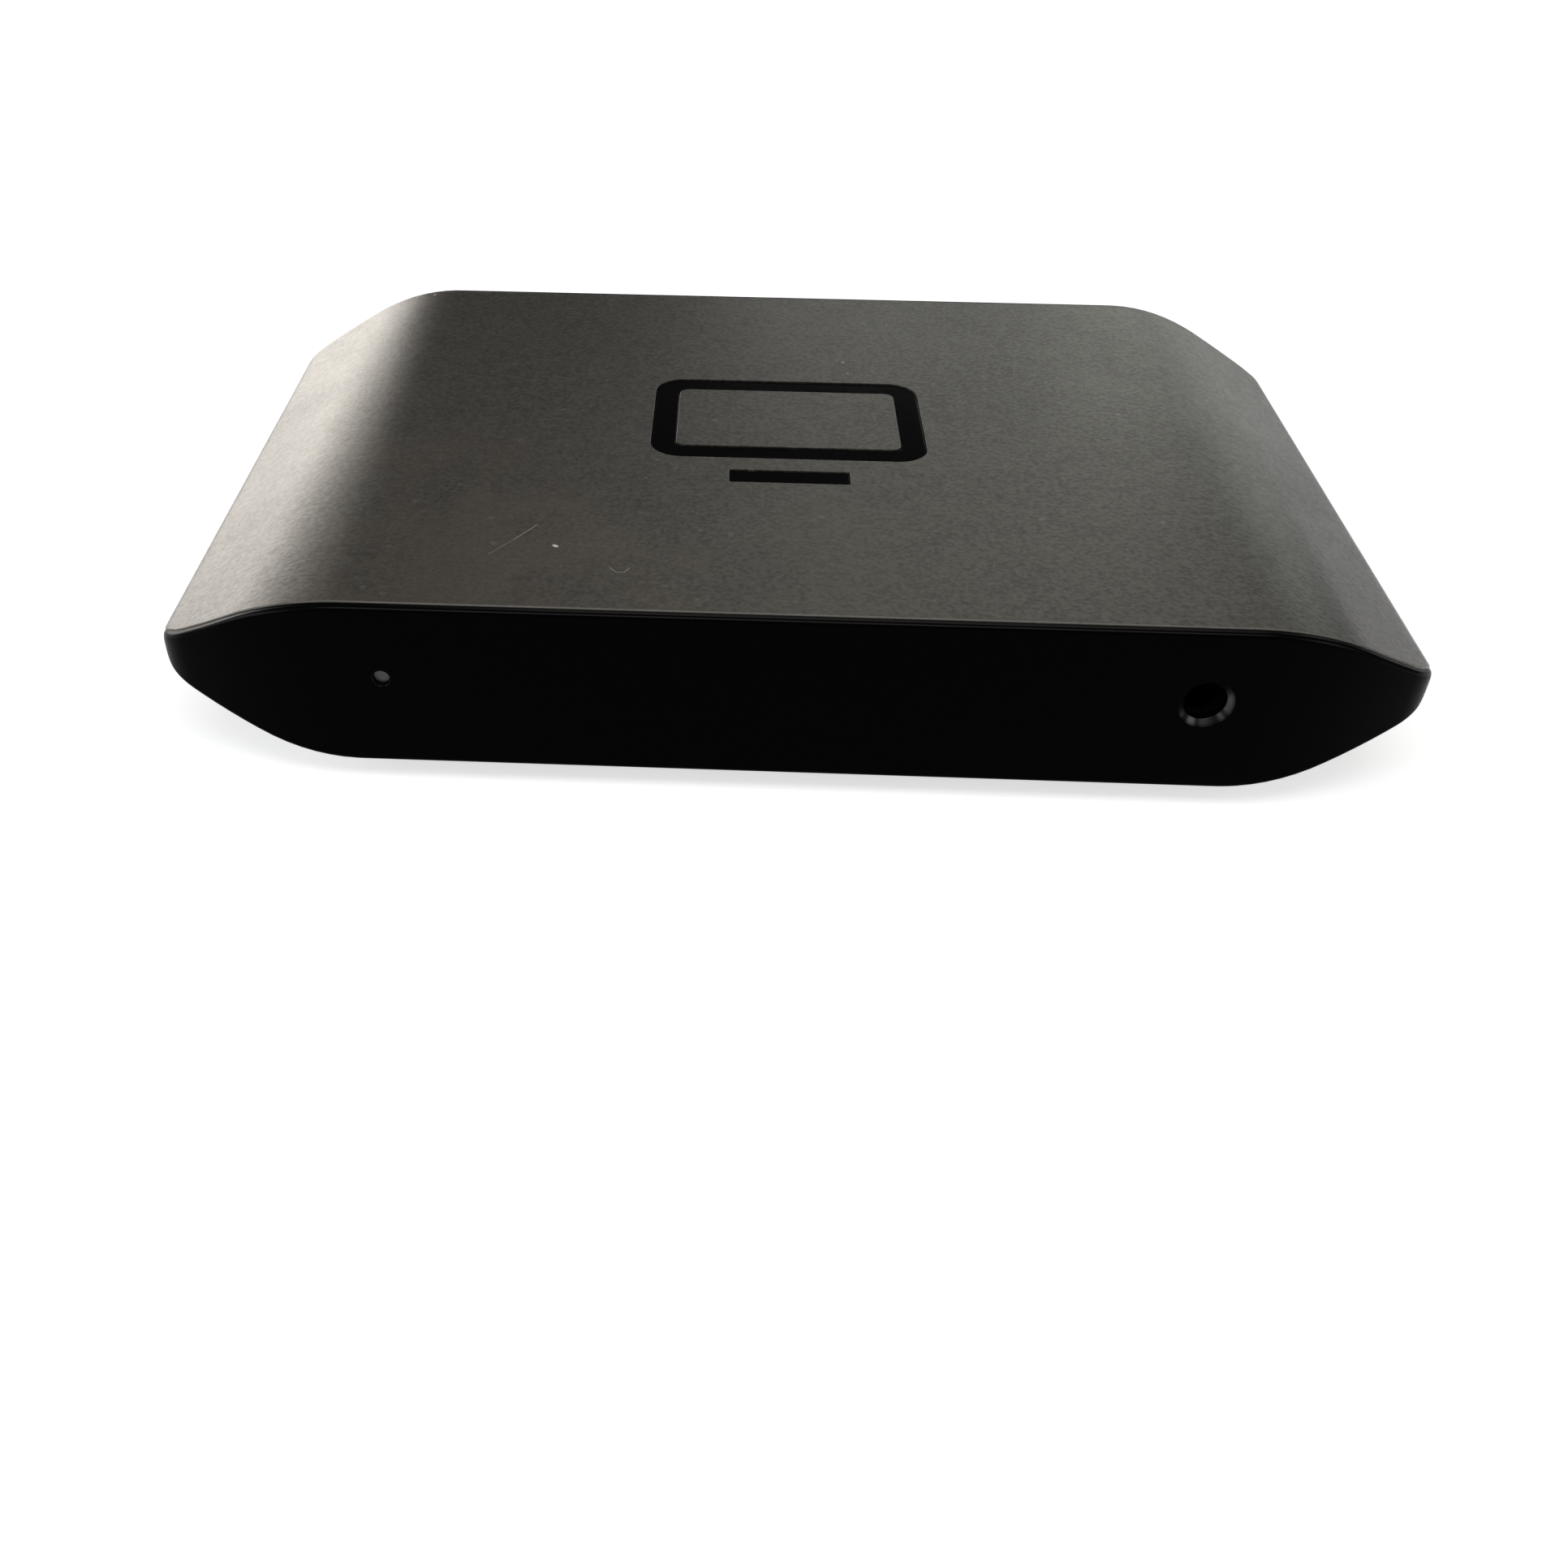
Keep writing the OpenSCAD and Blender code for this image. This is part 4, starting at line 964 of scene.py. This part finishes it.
    def board_laminate(self):
        """Solder mask over laminate: weave showing faintly under the green."""
        material, g, shader, where = self.start("board_laminate")
        rgb = self.colours.board
        x, y, _ = g.split(where)
        warp = g.math("SINE", g.math("MULTIPLY", x, 9000.0))
        weft = g.math("SINE", g.math("MULTIPLY", y, 9000.0))
        weave = g.math("MULTIPLY", warp, weft)
        tone = g.noise(where, 160.0, 4.0)
        body = self.mottled(g, tone, rgb, 0.75, 1.3)
        body = g.mix(g.ramp(weave, 0.2, 0.9, 0.0, 0.25), body, self.shade(rgb, 1.8))
        g.set(shader["Base Color"], body)
        g.set(shader["Roughness"], g.ramp(tone, 0.3, 0.7, 0.3, 0.42))
        g.set(shader["Normal"], g.bump(weave, 0.15, 0.00002))
        return material

    def pipe_clear(self):
        """Frosted clear plastic of the light pipe: milky, lightly streaked."""
        material, g, shader, where = self.start("pipe_clear")
        streak = g.noise(g.stretch(where, (1800, 300, 1800)), 1.0, 3.0)
        g.set(shader["Base Color"], g.mix(streak, (0.05, 0.052, 0.058, 1), (0.1, 0.105, 0.115, 1)))
        g.set(shader["Roughness"], g.ramp(streak, 0.3, 0.7, 0.22, 0.4))
        shader["IOR"].default_value = 1.49
        g.set(shader["Normal"], g.bump(streak, 0.1, 0.00003))
        return material

    def lamp_lens(self):
        """Pale epoxy of the lamp with a phosphor tint in the middle."""
        material, g, shader, where = self.start("lamp_lens")
        tone = g.noise(where, 2200.0, 3.0)
        g.set(shader["Base Color"], g.mix(tone, (0.72, 0.66, 0.36, 1), (0.85, 0.82, 0.62, 1)))
        g.set(shader["Roughness"], g.ramp(tone, 0.3, 0.7, 0.2, 0.35))
        return material


@cache
def bench():
    """The one bench that all operators share."""
    return Bench(bpy.context.scene.capture_finishes)


def finish_named(name):
    """The shared bench's finish of that name, made on first use."""
    return bench().get(name)


# Operators

FLAT_REACH = 38.0  # millimetres from the middle to the last grid line laid on a flat
POCKET_GAP, POCKET_EDGE = 0.05, 0.06  # of a pocket: gap round what lies in it, rounding of its brink


class CAPTURE_OT_cover(bpy.types.Operator):
    """Build the upper half of the housing with the pocket of its sign"""

    bl_idname = "capture.cover"
    bl_label = "Cover"

    def execute(self, context):
        house, sizes = Housing(context.scene.capture_housing), context.scene.capture_housing
        lip, end_r = mm(context.scene.capture_panel.lip), mm(sizes.cover_edge)
        sign = context.scene.capture_sign
        frame_at, outer, inner, bar_at, bar = sign_shapes(sign)
        depth, gap, edge_r = mm(sign.pocket), POCKET_GAP, POCKET_EDGE
        beside, before, behind = 2.5, 1.5, 2.0
        right = mm(sign.width) / 2 + beside
        middle = (bar_at[1] + mm(sign.stroke) / 2 + frame_at[1] - mm(sign.height) / 2) / 2
        low = bar_at[1] - mm(sign.stroke) / 2 - before
        high = frame_at[1] + mm(sign.height) / 2 + behind
        fine, coarse = 0.45, 2.2
        xs = both_sides(between_marks([(-right, right)], fine, coarse, FLAT_REACH))
        ys = between_marks([(low, middle), (middle, high)], fine, coarse, house.half_d - lip - end_r)
        windows = [(-right, right, low, middle), (-right, right, middle, high)]
        surface = shell(house, True, lip, end_r, mm(sizes.seam_edge), xs, ys, windows)
        z = house.nose_z + house.rise
        span = window_lines(xs, -right, right)
        edge = window_edge(span, window_lines(ys, middle, high))
        rings = sunk_rings(edge, frame_at, widened(outer, gap), z, 1, depth, edge_r)
        island = sunk_rings(edge, frame_at, widened(inner, -gap), z, 1, depth, 0.0)[-1]
        rings.append(island)
        roll = np.linspace(pi / 2, 0, 4)
        set_in = np.concatenate([[0], edge_r * (1 - np.sin(roll)), [edge_r + BESIDE]])
        drop = np.concatenate([[edge_r + BESIDE], edge_r * (1 - np.cos(roll)), [0]])
        for q, d in zip(set_in, drop):
            rings.append(lifted(cast(np.zeros(2), edge - frame_at, inner, -gap - q) + frame_at, z - d))
        surface.grid(closed_rings(rings), wrap_columns=True)
        edge = window_edge(span, window_lines(ys, low, middle))
        rings = sunk_rings(edge, bar_at, widened(bar, gap), z, 1, depth, edge_r)
        surface.grid(closed_rings(rings), wrap_columns=True)
        piece = surface.piece("cover_shell", "cover_grey", "top_cover")
        x, y, _ = points_of(piece)
        from_end = house.half_d - lip - house.swept_back(x) - np.abs(y)
        # A pale band just inside each open end, painted as the highlight of the rounded edge, for the
        # cover's finish
        glint_to, glint_fade, end_fade = 0.19, 0.06, 0.05
        rubbed = np.clip((glint_to - from_end) / glint_fade, 0, 1) * np.clip(from_end / end_fade, 0, 1)
        paint(piece, "rubbed", rubbed)
        return {"FINISHED"}


class CAPTURE_OT_base(bpy.types.Operator):
    """Build the lower half of the housing with its foot pockets"""

    bl_idname = "capture.base"
    bl_label = "Base"

    def execute(self, context):
        house, sizes = Housing(context.scene.capture_housing), context.scene.capture_housing
        lip, end_r = mm(context.scene.capture_panel.lip), mm(sizes.cover_edge)
        feet = [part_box(node) for node in FEET]
        middles = [((a.x + b.x) / 2 / MM, (a.y + b.y) / 2 / MM) for a, b in feet]
        foot_r = mm(feet[0][1].x - feet[0][0].x) / 2
        around = 1.6
        half = foot_r + around
        spans_x = sorted({(round(x - half, 4), round(x + half, 4)) for x, _ in middles})
        spans_y = sorted({(round(y - half, 4), round(y + half, 4)) for _, y in middles})
        fine, coarse = 0.55, 2.4
        xs = both_sides(between_marks(spans_x, fine, coarse, FLAT_REACH))
        ys = between_marks(spans_y, fine, coarse, house.half_d - lip - end_r)
        windows = [(x - half, x + half, y - half, y + half) for x, y in middles]
        surface = shell(house, False, lip, end_r, mm(sizes.seam_edge), xs, ys, windows)
        z = house.nose_z - house.drop
        pocket, pocket_r = mm(feet[0][1].z) - z, foot_r + POCKET_GAP
        circle = box_distance(pocket_r, pocket_r, pocket_r)
        for (x0, x1, y0, y1), at in zip(windows, middles):
            edge = window_edge(window_lines(xs, x0, x1), window_lines(ys, y0, y1))
            rings = sunk_rings(edge, np.array(at), circle, z, -1, pocket, POCKET_EDGE)
            surface.grid(closed_rings(rings), wrap_columns=True)
        surface.piece("base_shell", "base_black", "base_cover")
        return {"FINISHED"}


LAMP_WINDOW, AUDIO_WINDOW, SOCKET_WINDOW = 3.0, 4.5, 9.25  # half-widths of the loft's windows
SOCKET_GAP, SOCKET_EDGE = 0.55, 0.12  # from a socket's inside to its opening, the opening's rounding
SOCKETS = (  # CAD node, piece, and length in millimetres
    ("usb_c_shell", "usb_c_sleeve", 8.0),
    ("hdmi_in_shell", "hdmi_in_sleeve", 11.5),
    ("hdmi_out_shell", "hdmi_out_sleeve", 11.5),
)
SLEEVE = 0.3  # wall of a folded socket shell, in millimetres
COMPUTER_HALF = (4.17, 1.28)  # half the opening of the computer socket
VIDEO_HALF = (7.0, 4.55 / 2)  # half the opening of a video socket
VIDEO_FOOT = 5.2  # half its narrow lower edge
VIDEO_CUT = 1.75  # height of its slanted corners
VIDEO_R = 0.45  # radius of its corners


def socket_outline(node):
    """Middle, inner outline and mouth depth of a rear socket, taken from its shell's place."""
    lo, hi = (np.array(c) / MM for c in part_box(node))
    middle = (lo[0] + hi[0]) / 2
    if node.startswith("usb"):
        wide, high = COMPUTER_HALF
        return (middle, hi[2] - SLEEVE - high), box_distance(wide, high, high), hi[1]
    wide, high = VIDEO_HALF
    right = [(VIDEO_FOOT, -high), (wide, VIDEO_CUT - high), (wide, high)]
    corners = [(-VIDEO_FOOT, -high), *right, (-wide, high), (-wide, VIDEO_CUT - high)]
    return (middle, hi[2] - SLEEVE - high), convex_distance(corners, VIDEO_R), hi[1]


class CAPTURE_OT_panels(bpy.types.Operator):
    """Build the front panel with its two holes and the rear panel with its socket openings"""

    bl_idname = "capture.panels"
    bl_label = "End panels"

    def execute(self, context):
        house, sizes = Housing(context.scene.capture_housing), context.scene.capture_panel
        hole_x, z = mm(sizes.hole_x), mm(sizes.hole_z)
        cuts = []
        for x, size, bevel, half, straight in (
            (-hole_x, sizes.lamp_d, sizes.lamp_bevel, LAMP_WINDOW, False),
            (hole_x, sizes.audio_d, sizes.audio_bevel, AUDIO_WINDOW, True),
        ):
            r = mm(size) / 2
            cuts.append((x - half, x + half, (x, z), box_distance(r, r, r), mm(bevel), straight))
        panel(house, sizes, cuts, "front_cap", "front_panel", rear=False)
        cuts = []
        for node, _, _ in SOCKETS:
            at, sleeve, _ = socket_outline(node)
            left, right = at[0] - SOCKET_WINDOW, at[0] + SOCKET_WINDOW
            cuts.append((left, right, at, widened(sleeve, SOCKET_GAP), SOCKET_EDGE, False))
        panel(house, sizes, cuts, "rear_cap", "rear_panel", rear=True)
        return {"FINISHED"}


class CAPTURE_OT_sockets(bpy.types.Operator):
    """Build the folded socket shells: a wall profile carried round each socket outline"""

    bl_idname = "capture.sockets"
    bl_label = "Socket shells"

    def execute(self, context):
        ray, roll, half = rays(240), np.linspace(0, pi, 7), SLEEVE / 2
        for node, name, long in SOCKETS:
            at, distance, mouth = socket_outline(node)
            level = np.concatenate([[0.0, 0.0], half - half * np.cos(roll), [SLEEVE, SLEEVE]])
            back = np.concatenate([[long, 1.0], half - half * np.sin(roll), [1.0, long]])
            rings = []
            for lev, b in zip(level, back):
                flat = cast(np.zeros(2), ray, distance, lev) + at
                rings.append(np.stack([flat[:, 0], np.full(len(flat), mouth - b), flat[:, 1]], 1))
            surface = Surface().grid(np.stack(rings), wrap_rows=True, wrap_columns=True)
            surface.piece(name, "socket_steel", node)
        return {"FINISHED"}


class CAPTURE_OT_sign(bpy.types.Operator):
    """Build the screen sign that lies in the cover"""

    bl_idname = "capture.sign"
    bl_label = "Sign"

    def execute(self, context):
        house, sign = Housing(context.scene.capture_housing), context.scene.capture_sign
        frame_at, outer, inner, bar_at, bar = sign_shapes(sign)
        top = house.nose_z + house.rise - mm(sign.sunk)
        low = house.nose_z + house.rise - mm(sign.pocket)
        ray, roll, soft = rays(480), np.linspace(0, pi / 2, 4), 0.1
        set_in = np.concatenate([[0, 0], soft * (1 - np.cos(roll)), [soft + BESIDE]])
        height = np.concatenate([[low, top - soft - BESIDE], top - soft * (1 - np.sin(roll)), [top]])

        def edge_rings(distance, at, side):
            """Rings up an outline's wall and over its rounded edge, inwards for side 1."""
            outlines = [cast(np.zeros(2), ray, distance, -side * q) + at for q in set_in]
            return [lifted(outline, z) for outline, z in zip(outlines, height)]

        rings = edge_rings(outer, frame_at, 1) + edge_rings(inner, frame_at, -1)[::-1]
        surface = Surface().grid(np.stack(rings), wrap_rows=True, wrap_columns=True)
        rings = edge_rings(bar, bar_at, 1)
        surface.grid(closed_rings(rings), wrap_columns=True)
        surface.grid(closed_rings(rings[:1]), wrap_columns=True)
        surface.piece("screen_sign", "emblem_black", "emblem_inlay")
        return {"FINISHED"}


class CAPTURE_OT_feet(bpy.types.Operator):
    """Build the four rubber feet: a turned profile with a rounded edge and a shallow dish"""

    bl_idname = "capture.feet"
    bl_label = "Feet"

    def execute(self, context):
        roll = np.linspace(0, pi / 2, 7)
        for node in FEET:
            lo, hi = (np.array(c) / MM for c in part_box(node))
            r, edge, dish, ring, chamfer = (hi[0] - lo[0]) / 2, 0.7, 0.25, 0.9, 0.15
            inner = r - edge - ring
            profile = [(0.0, dish)] + [(inner - dish + dish * sin(a), dish * cos(a)) for a in roll]
            profile += [(r - edge + edge * sin(a), edge * (1 - cos(a))) for a in roll]
            profile += [(r, hi[2] - chamfer), (r - chamfer, hi[2]), (0.0, hi[2])]
            points = revolved(profile, (lo[:2] + hi[:2]) / 2, 72)
            points[..., 2] += lo[2]
            surface = Surface().grid(points, wrap_columns=True)
            surface.piece(node.replace("foot", "pad"), "foot_rubber", node)
        return {"FINISHED"}


SOLIDS_IN = {  # finish, and the solids that wear it; the chips that are not named wear chip_black
    "screw_steel": ("case_screws", "board_screws"),
    "board_laminate": ("circuit_board",),
    "insulator_black": ("hdmi_in_tongue", "hdmi_out_tongue", "usb_c_tongue", "audio_jack_body"),
    "contact_gold": ("hdmi_in_contacts", "hdmi_out_contacts", "usb_c_contacts", "audio_jack_contacts"),
    "pipe_clear": ("light_pipe",),
    "lamp_lens": ("status_led",),
    "pad_grey": ("thermal_pad",),
    "sink_aluminium": ("heat_sink",),
    "crystal_lid": ("crystals",),
    "inductor_grey": ("power_inductors",),
    "can_aluminium": ("bulk_capacitors",),
    "ceramic_tan": ("ceramic_capacitors",),
}
FINISH_OF = {node: finish for finish, nodes in SOLIDS_IN.items() for node in nodes}


class CAPTURE_OT_dress(bpy.types.Operator):
    """Give each carried-over solid its finish"""

    bl_idname = "capture.dress"
    bl_label = "Finishes of the solids"

    def execute(self, context):
        for name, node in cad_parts.items():
            if node.hide_render:
                continue
            finish = finish_named(FINISH_OF.get(name, "chip_black"))
            node.data.materials.clear()
            node.data.materials.append(finish)
        return {"FINISHED"}


FLOOR_HALF, FLOOR_DROP = 6000.0, 0.02  # millimetres: half its side, and how far it lies under the feet
LAMP_AWAY = 0.7  # metres from the origin to each lamp
# The camera, fitted to the box's edges in the photo
LENS, SENSOR, SHIFT = 35.637, 36.0, (0.07997, 0.02811)
CAMERA_AT = (-0.006473, -0.14556, 0.085609)
CAMERA_AXES = (  # right, up and back
    (0.99888, 0.04704, 0.0059),
    (-0.03444, 0.63428, 0.77234),
    (0.03259, -0.77167, 0.63518),
)
WARM, DAY, COOL, WHITE = (1.0, 0.94, 0.86), (0.98, 1.0, 0.92), (0.88, 0.93, 1.0), (1.0, 1.0, 1.0)
LAMPS = (  # setting, azimuth and height angle in degrees, size in metres, tint
    ("window", -43, 6.5, (0.6, 0.14), WARM),
    ("side", -105, 27, (0.7, 0.22), COOL),
    ("rear", 10, 19, (0.25, 0.06), DAY),
    ("over", 8, 42, (0.4, 0.15), WARM),
    ("low", 27, 13, (0.3, 0.2), DAY),
    ("edge", 40, 4, (0.4, 0.1), DAY),
    ("fill", 114, 30, (0.3, 0.25), DAY),
    ("top", 180, 68, (0.6, 0.3), WHITE),
)


class CAPTURE_OT_stage(bpy.types.Operator):
    """Set up the floor, the soft light and the camera"""

    bl_idname = "capture.stage"
    bl_label = "Stage"

    def execute(self, context):
        scene, stage = context.scene, context.scene.capture_stage
        scene.view_settings.view_transform = "Standard"
        self.floor(stage)
        self.room(scene, stage)
        for name, azimuth, height, size, tint in LAMPS:
            self.lamp(name, azimuth, height, size, getattr(stage, name), tint)
        camera = bpy.data.cameras.new("camera")
        camera.sensor_width, camera.lens = SENSOR, LENS
        camera.shift_x, camera.shift_y = SHIFT
        camera.clip_start, camera.clip_end = 0.005, 20.0
        holder = bpy.data.objects.new("camera", camera)
        turn = Matrix(CAMERA_AXES).transposed().to_4x4()
        holder.matrix_world = Matrix.Translation(CAMERA_AT) @ turn
        scene.collection.objects.link(holder)
        scene.camera = holder
        return {"FINISHED"}

    def lamp(self, name, azimuth, height, size, watts, tint):
        """A rectangular soft light turned to the origin, its azimuth counted from +Y to the right."""
        light = bpy.data.lights.new(name, "AREA")
        light.shape = "RECTANGLE"
        light.size, light.size_y = size
        light.energy, light.color = watts, tint
        turn, rise = radians(azimuth), radians(height)
        away = Vector((sin(turn) * cos(rise), cos(turn) * cos(rise), sin(rise)))
        holder = bpy.data.objects.new(name, light)
        holder.location = away * LAMP_AWAY
        holder.rotation_euler = away.to_track_quat("Z", "Y").to_euler()
        holder.visible_camera = False
        bpy.context.scene.collection.objects.link(holder)

    def floor(self, stage):
        """A wide level floor that is white to the camera but keeps the shadow under the box."""
        span = np.array([-FLOOR_HALF, FLOOR_HALF])
        x, y = np.meshgrid(span, span, indexing="ij")
        mesh = bpy.data.meshes.new("floor")
        points = np.stack([x, y, np.full_like(x, -FLOOR_DROP)], -1).reshape(-1, 3) * MM
        mesh.from_pydata(points, [], grid_faces(2, 2).tolist())
        material = bpy.data.materials.new("floor_white")
        material.use_nodes = True
        tree = material.node_tree
        g = Graph(tree)
        shader = tree.nodes["Principled BSDF"]
        tone = g.noise(tree.nodes.new("ShaderNodeTexCoord").outputs["Object"], 3.0, 2.0)
        rgb = stage.floor
        g.set(shader.inputs["Base Color"], g.mix(tone, (*[c * 0.99 for c in rgb], 1), (*rgb, 1)))
        shader.inputs["Roughness"].default_value = 0.9
        shader.inputs["Specular IOR Level"].default_value = 0.0
        path = tree.nodes.new("ShaderNodeLightPath").outputs
        seen = g.math("MAXIMUM", path["Is Glossy Ray"], path["Is Transmission Ray"])
        seen = g.math("MAXIMUM", path["Is Camera Ray"], seen)
        shader.inputs["Emission Color"].default_value = (1, 1, 1, 1)
        g.set(shader.inputs["Emission Strength"], g.math("MULTIPLY", seen, stage.lift))
        mesh.materials.append(material)
        floor = bpy.data.objects.new("floor", mesh)
        bpy.context.scene.collection.objects.link(floor)

    def room(self, scene, stage):
        """Even light of a plain room."""
        world = bpy.data.worlds.new("room")
        world.use_nodes = True
        background = world.node_tree.nodes["Background"]
        background.inputs["Color"].default_value = (1, 1, 1, 1)
        background.inputs["Strength"].default_value = stage.room
        scene.world = world


class CAPTURE_PT_panel(bpy.types.Panel):
    """Sizes, finishes and pieces of the capture box"""

    bl_idname = "CAPTURE_PT_panel"
    bl_label = "Capture box"
    bl_space_type = "VIEW_3D"
    bl_region_type = "UI"
    bl_category = "Capture box"

    def draw(self, context):
        layout = self.layout
        for operator in OPERATORS:
            layout.operator(operator.bl_idname)
        for group in GROUPS:
            box = layout.box()
            box.label(text=group.replace("capture_", "").capitalize())
            settings = getattr(context.scene, group)
            for name in settings.__annotations__:
                box.prop(settings, name)


GROUPS = {
    "capture_housing": HousingSizes, "capture_panel": PanelSizes, "capture_sign": SignSizes,
    "capture_finishes": Finishes, "capture_stage": StageSettings,
}
OPERATORS = (
    CAPTURE_OT_cover, CAPTURE_OT_base, CAPTURE_OT_panels, CAPTURE_OT_sockets, CAPTURE_OT_sign,
    CAPTURE_OT_feet, CAPTURE_OT_dress, CAPTURE_OT_stage,
)
CLASSES = (*GROUPS.values(), *OPERATORS, CAPTURE_PT_panel)


def register():
    for cls in CLASSES:
        bpy.utils.register_class(cls)
    for name, cls in GROUPS.items():
        setattr(bpy.types.Scene, name, PointerProperty(type=cls))


def unregister():
    for name in GROUPS:
        delattr(bpy.types.Scene, name)
    for cls in reversed(CLASSES):
        bpy.utils.unregister_class(cls)


def main():
    register()
    for operator in OPERATORS:
        getattr(bpy.ops.capture, operator.bl_idname.split(".")[1])()
    bpy.context.view_layer.update()


if __name__ == "__main__":
    main()
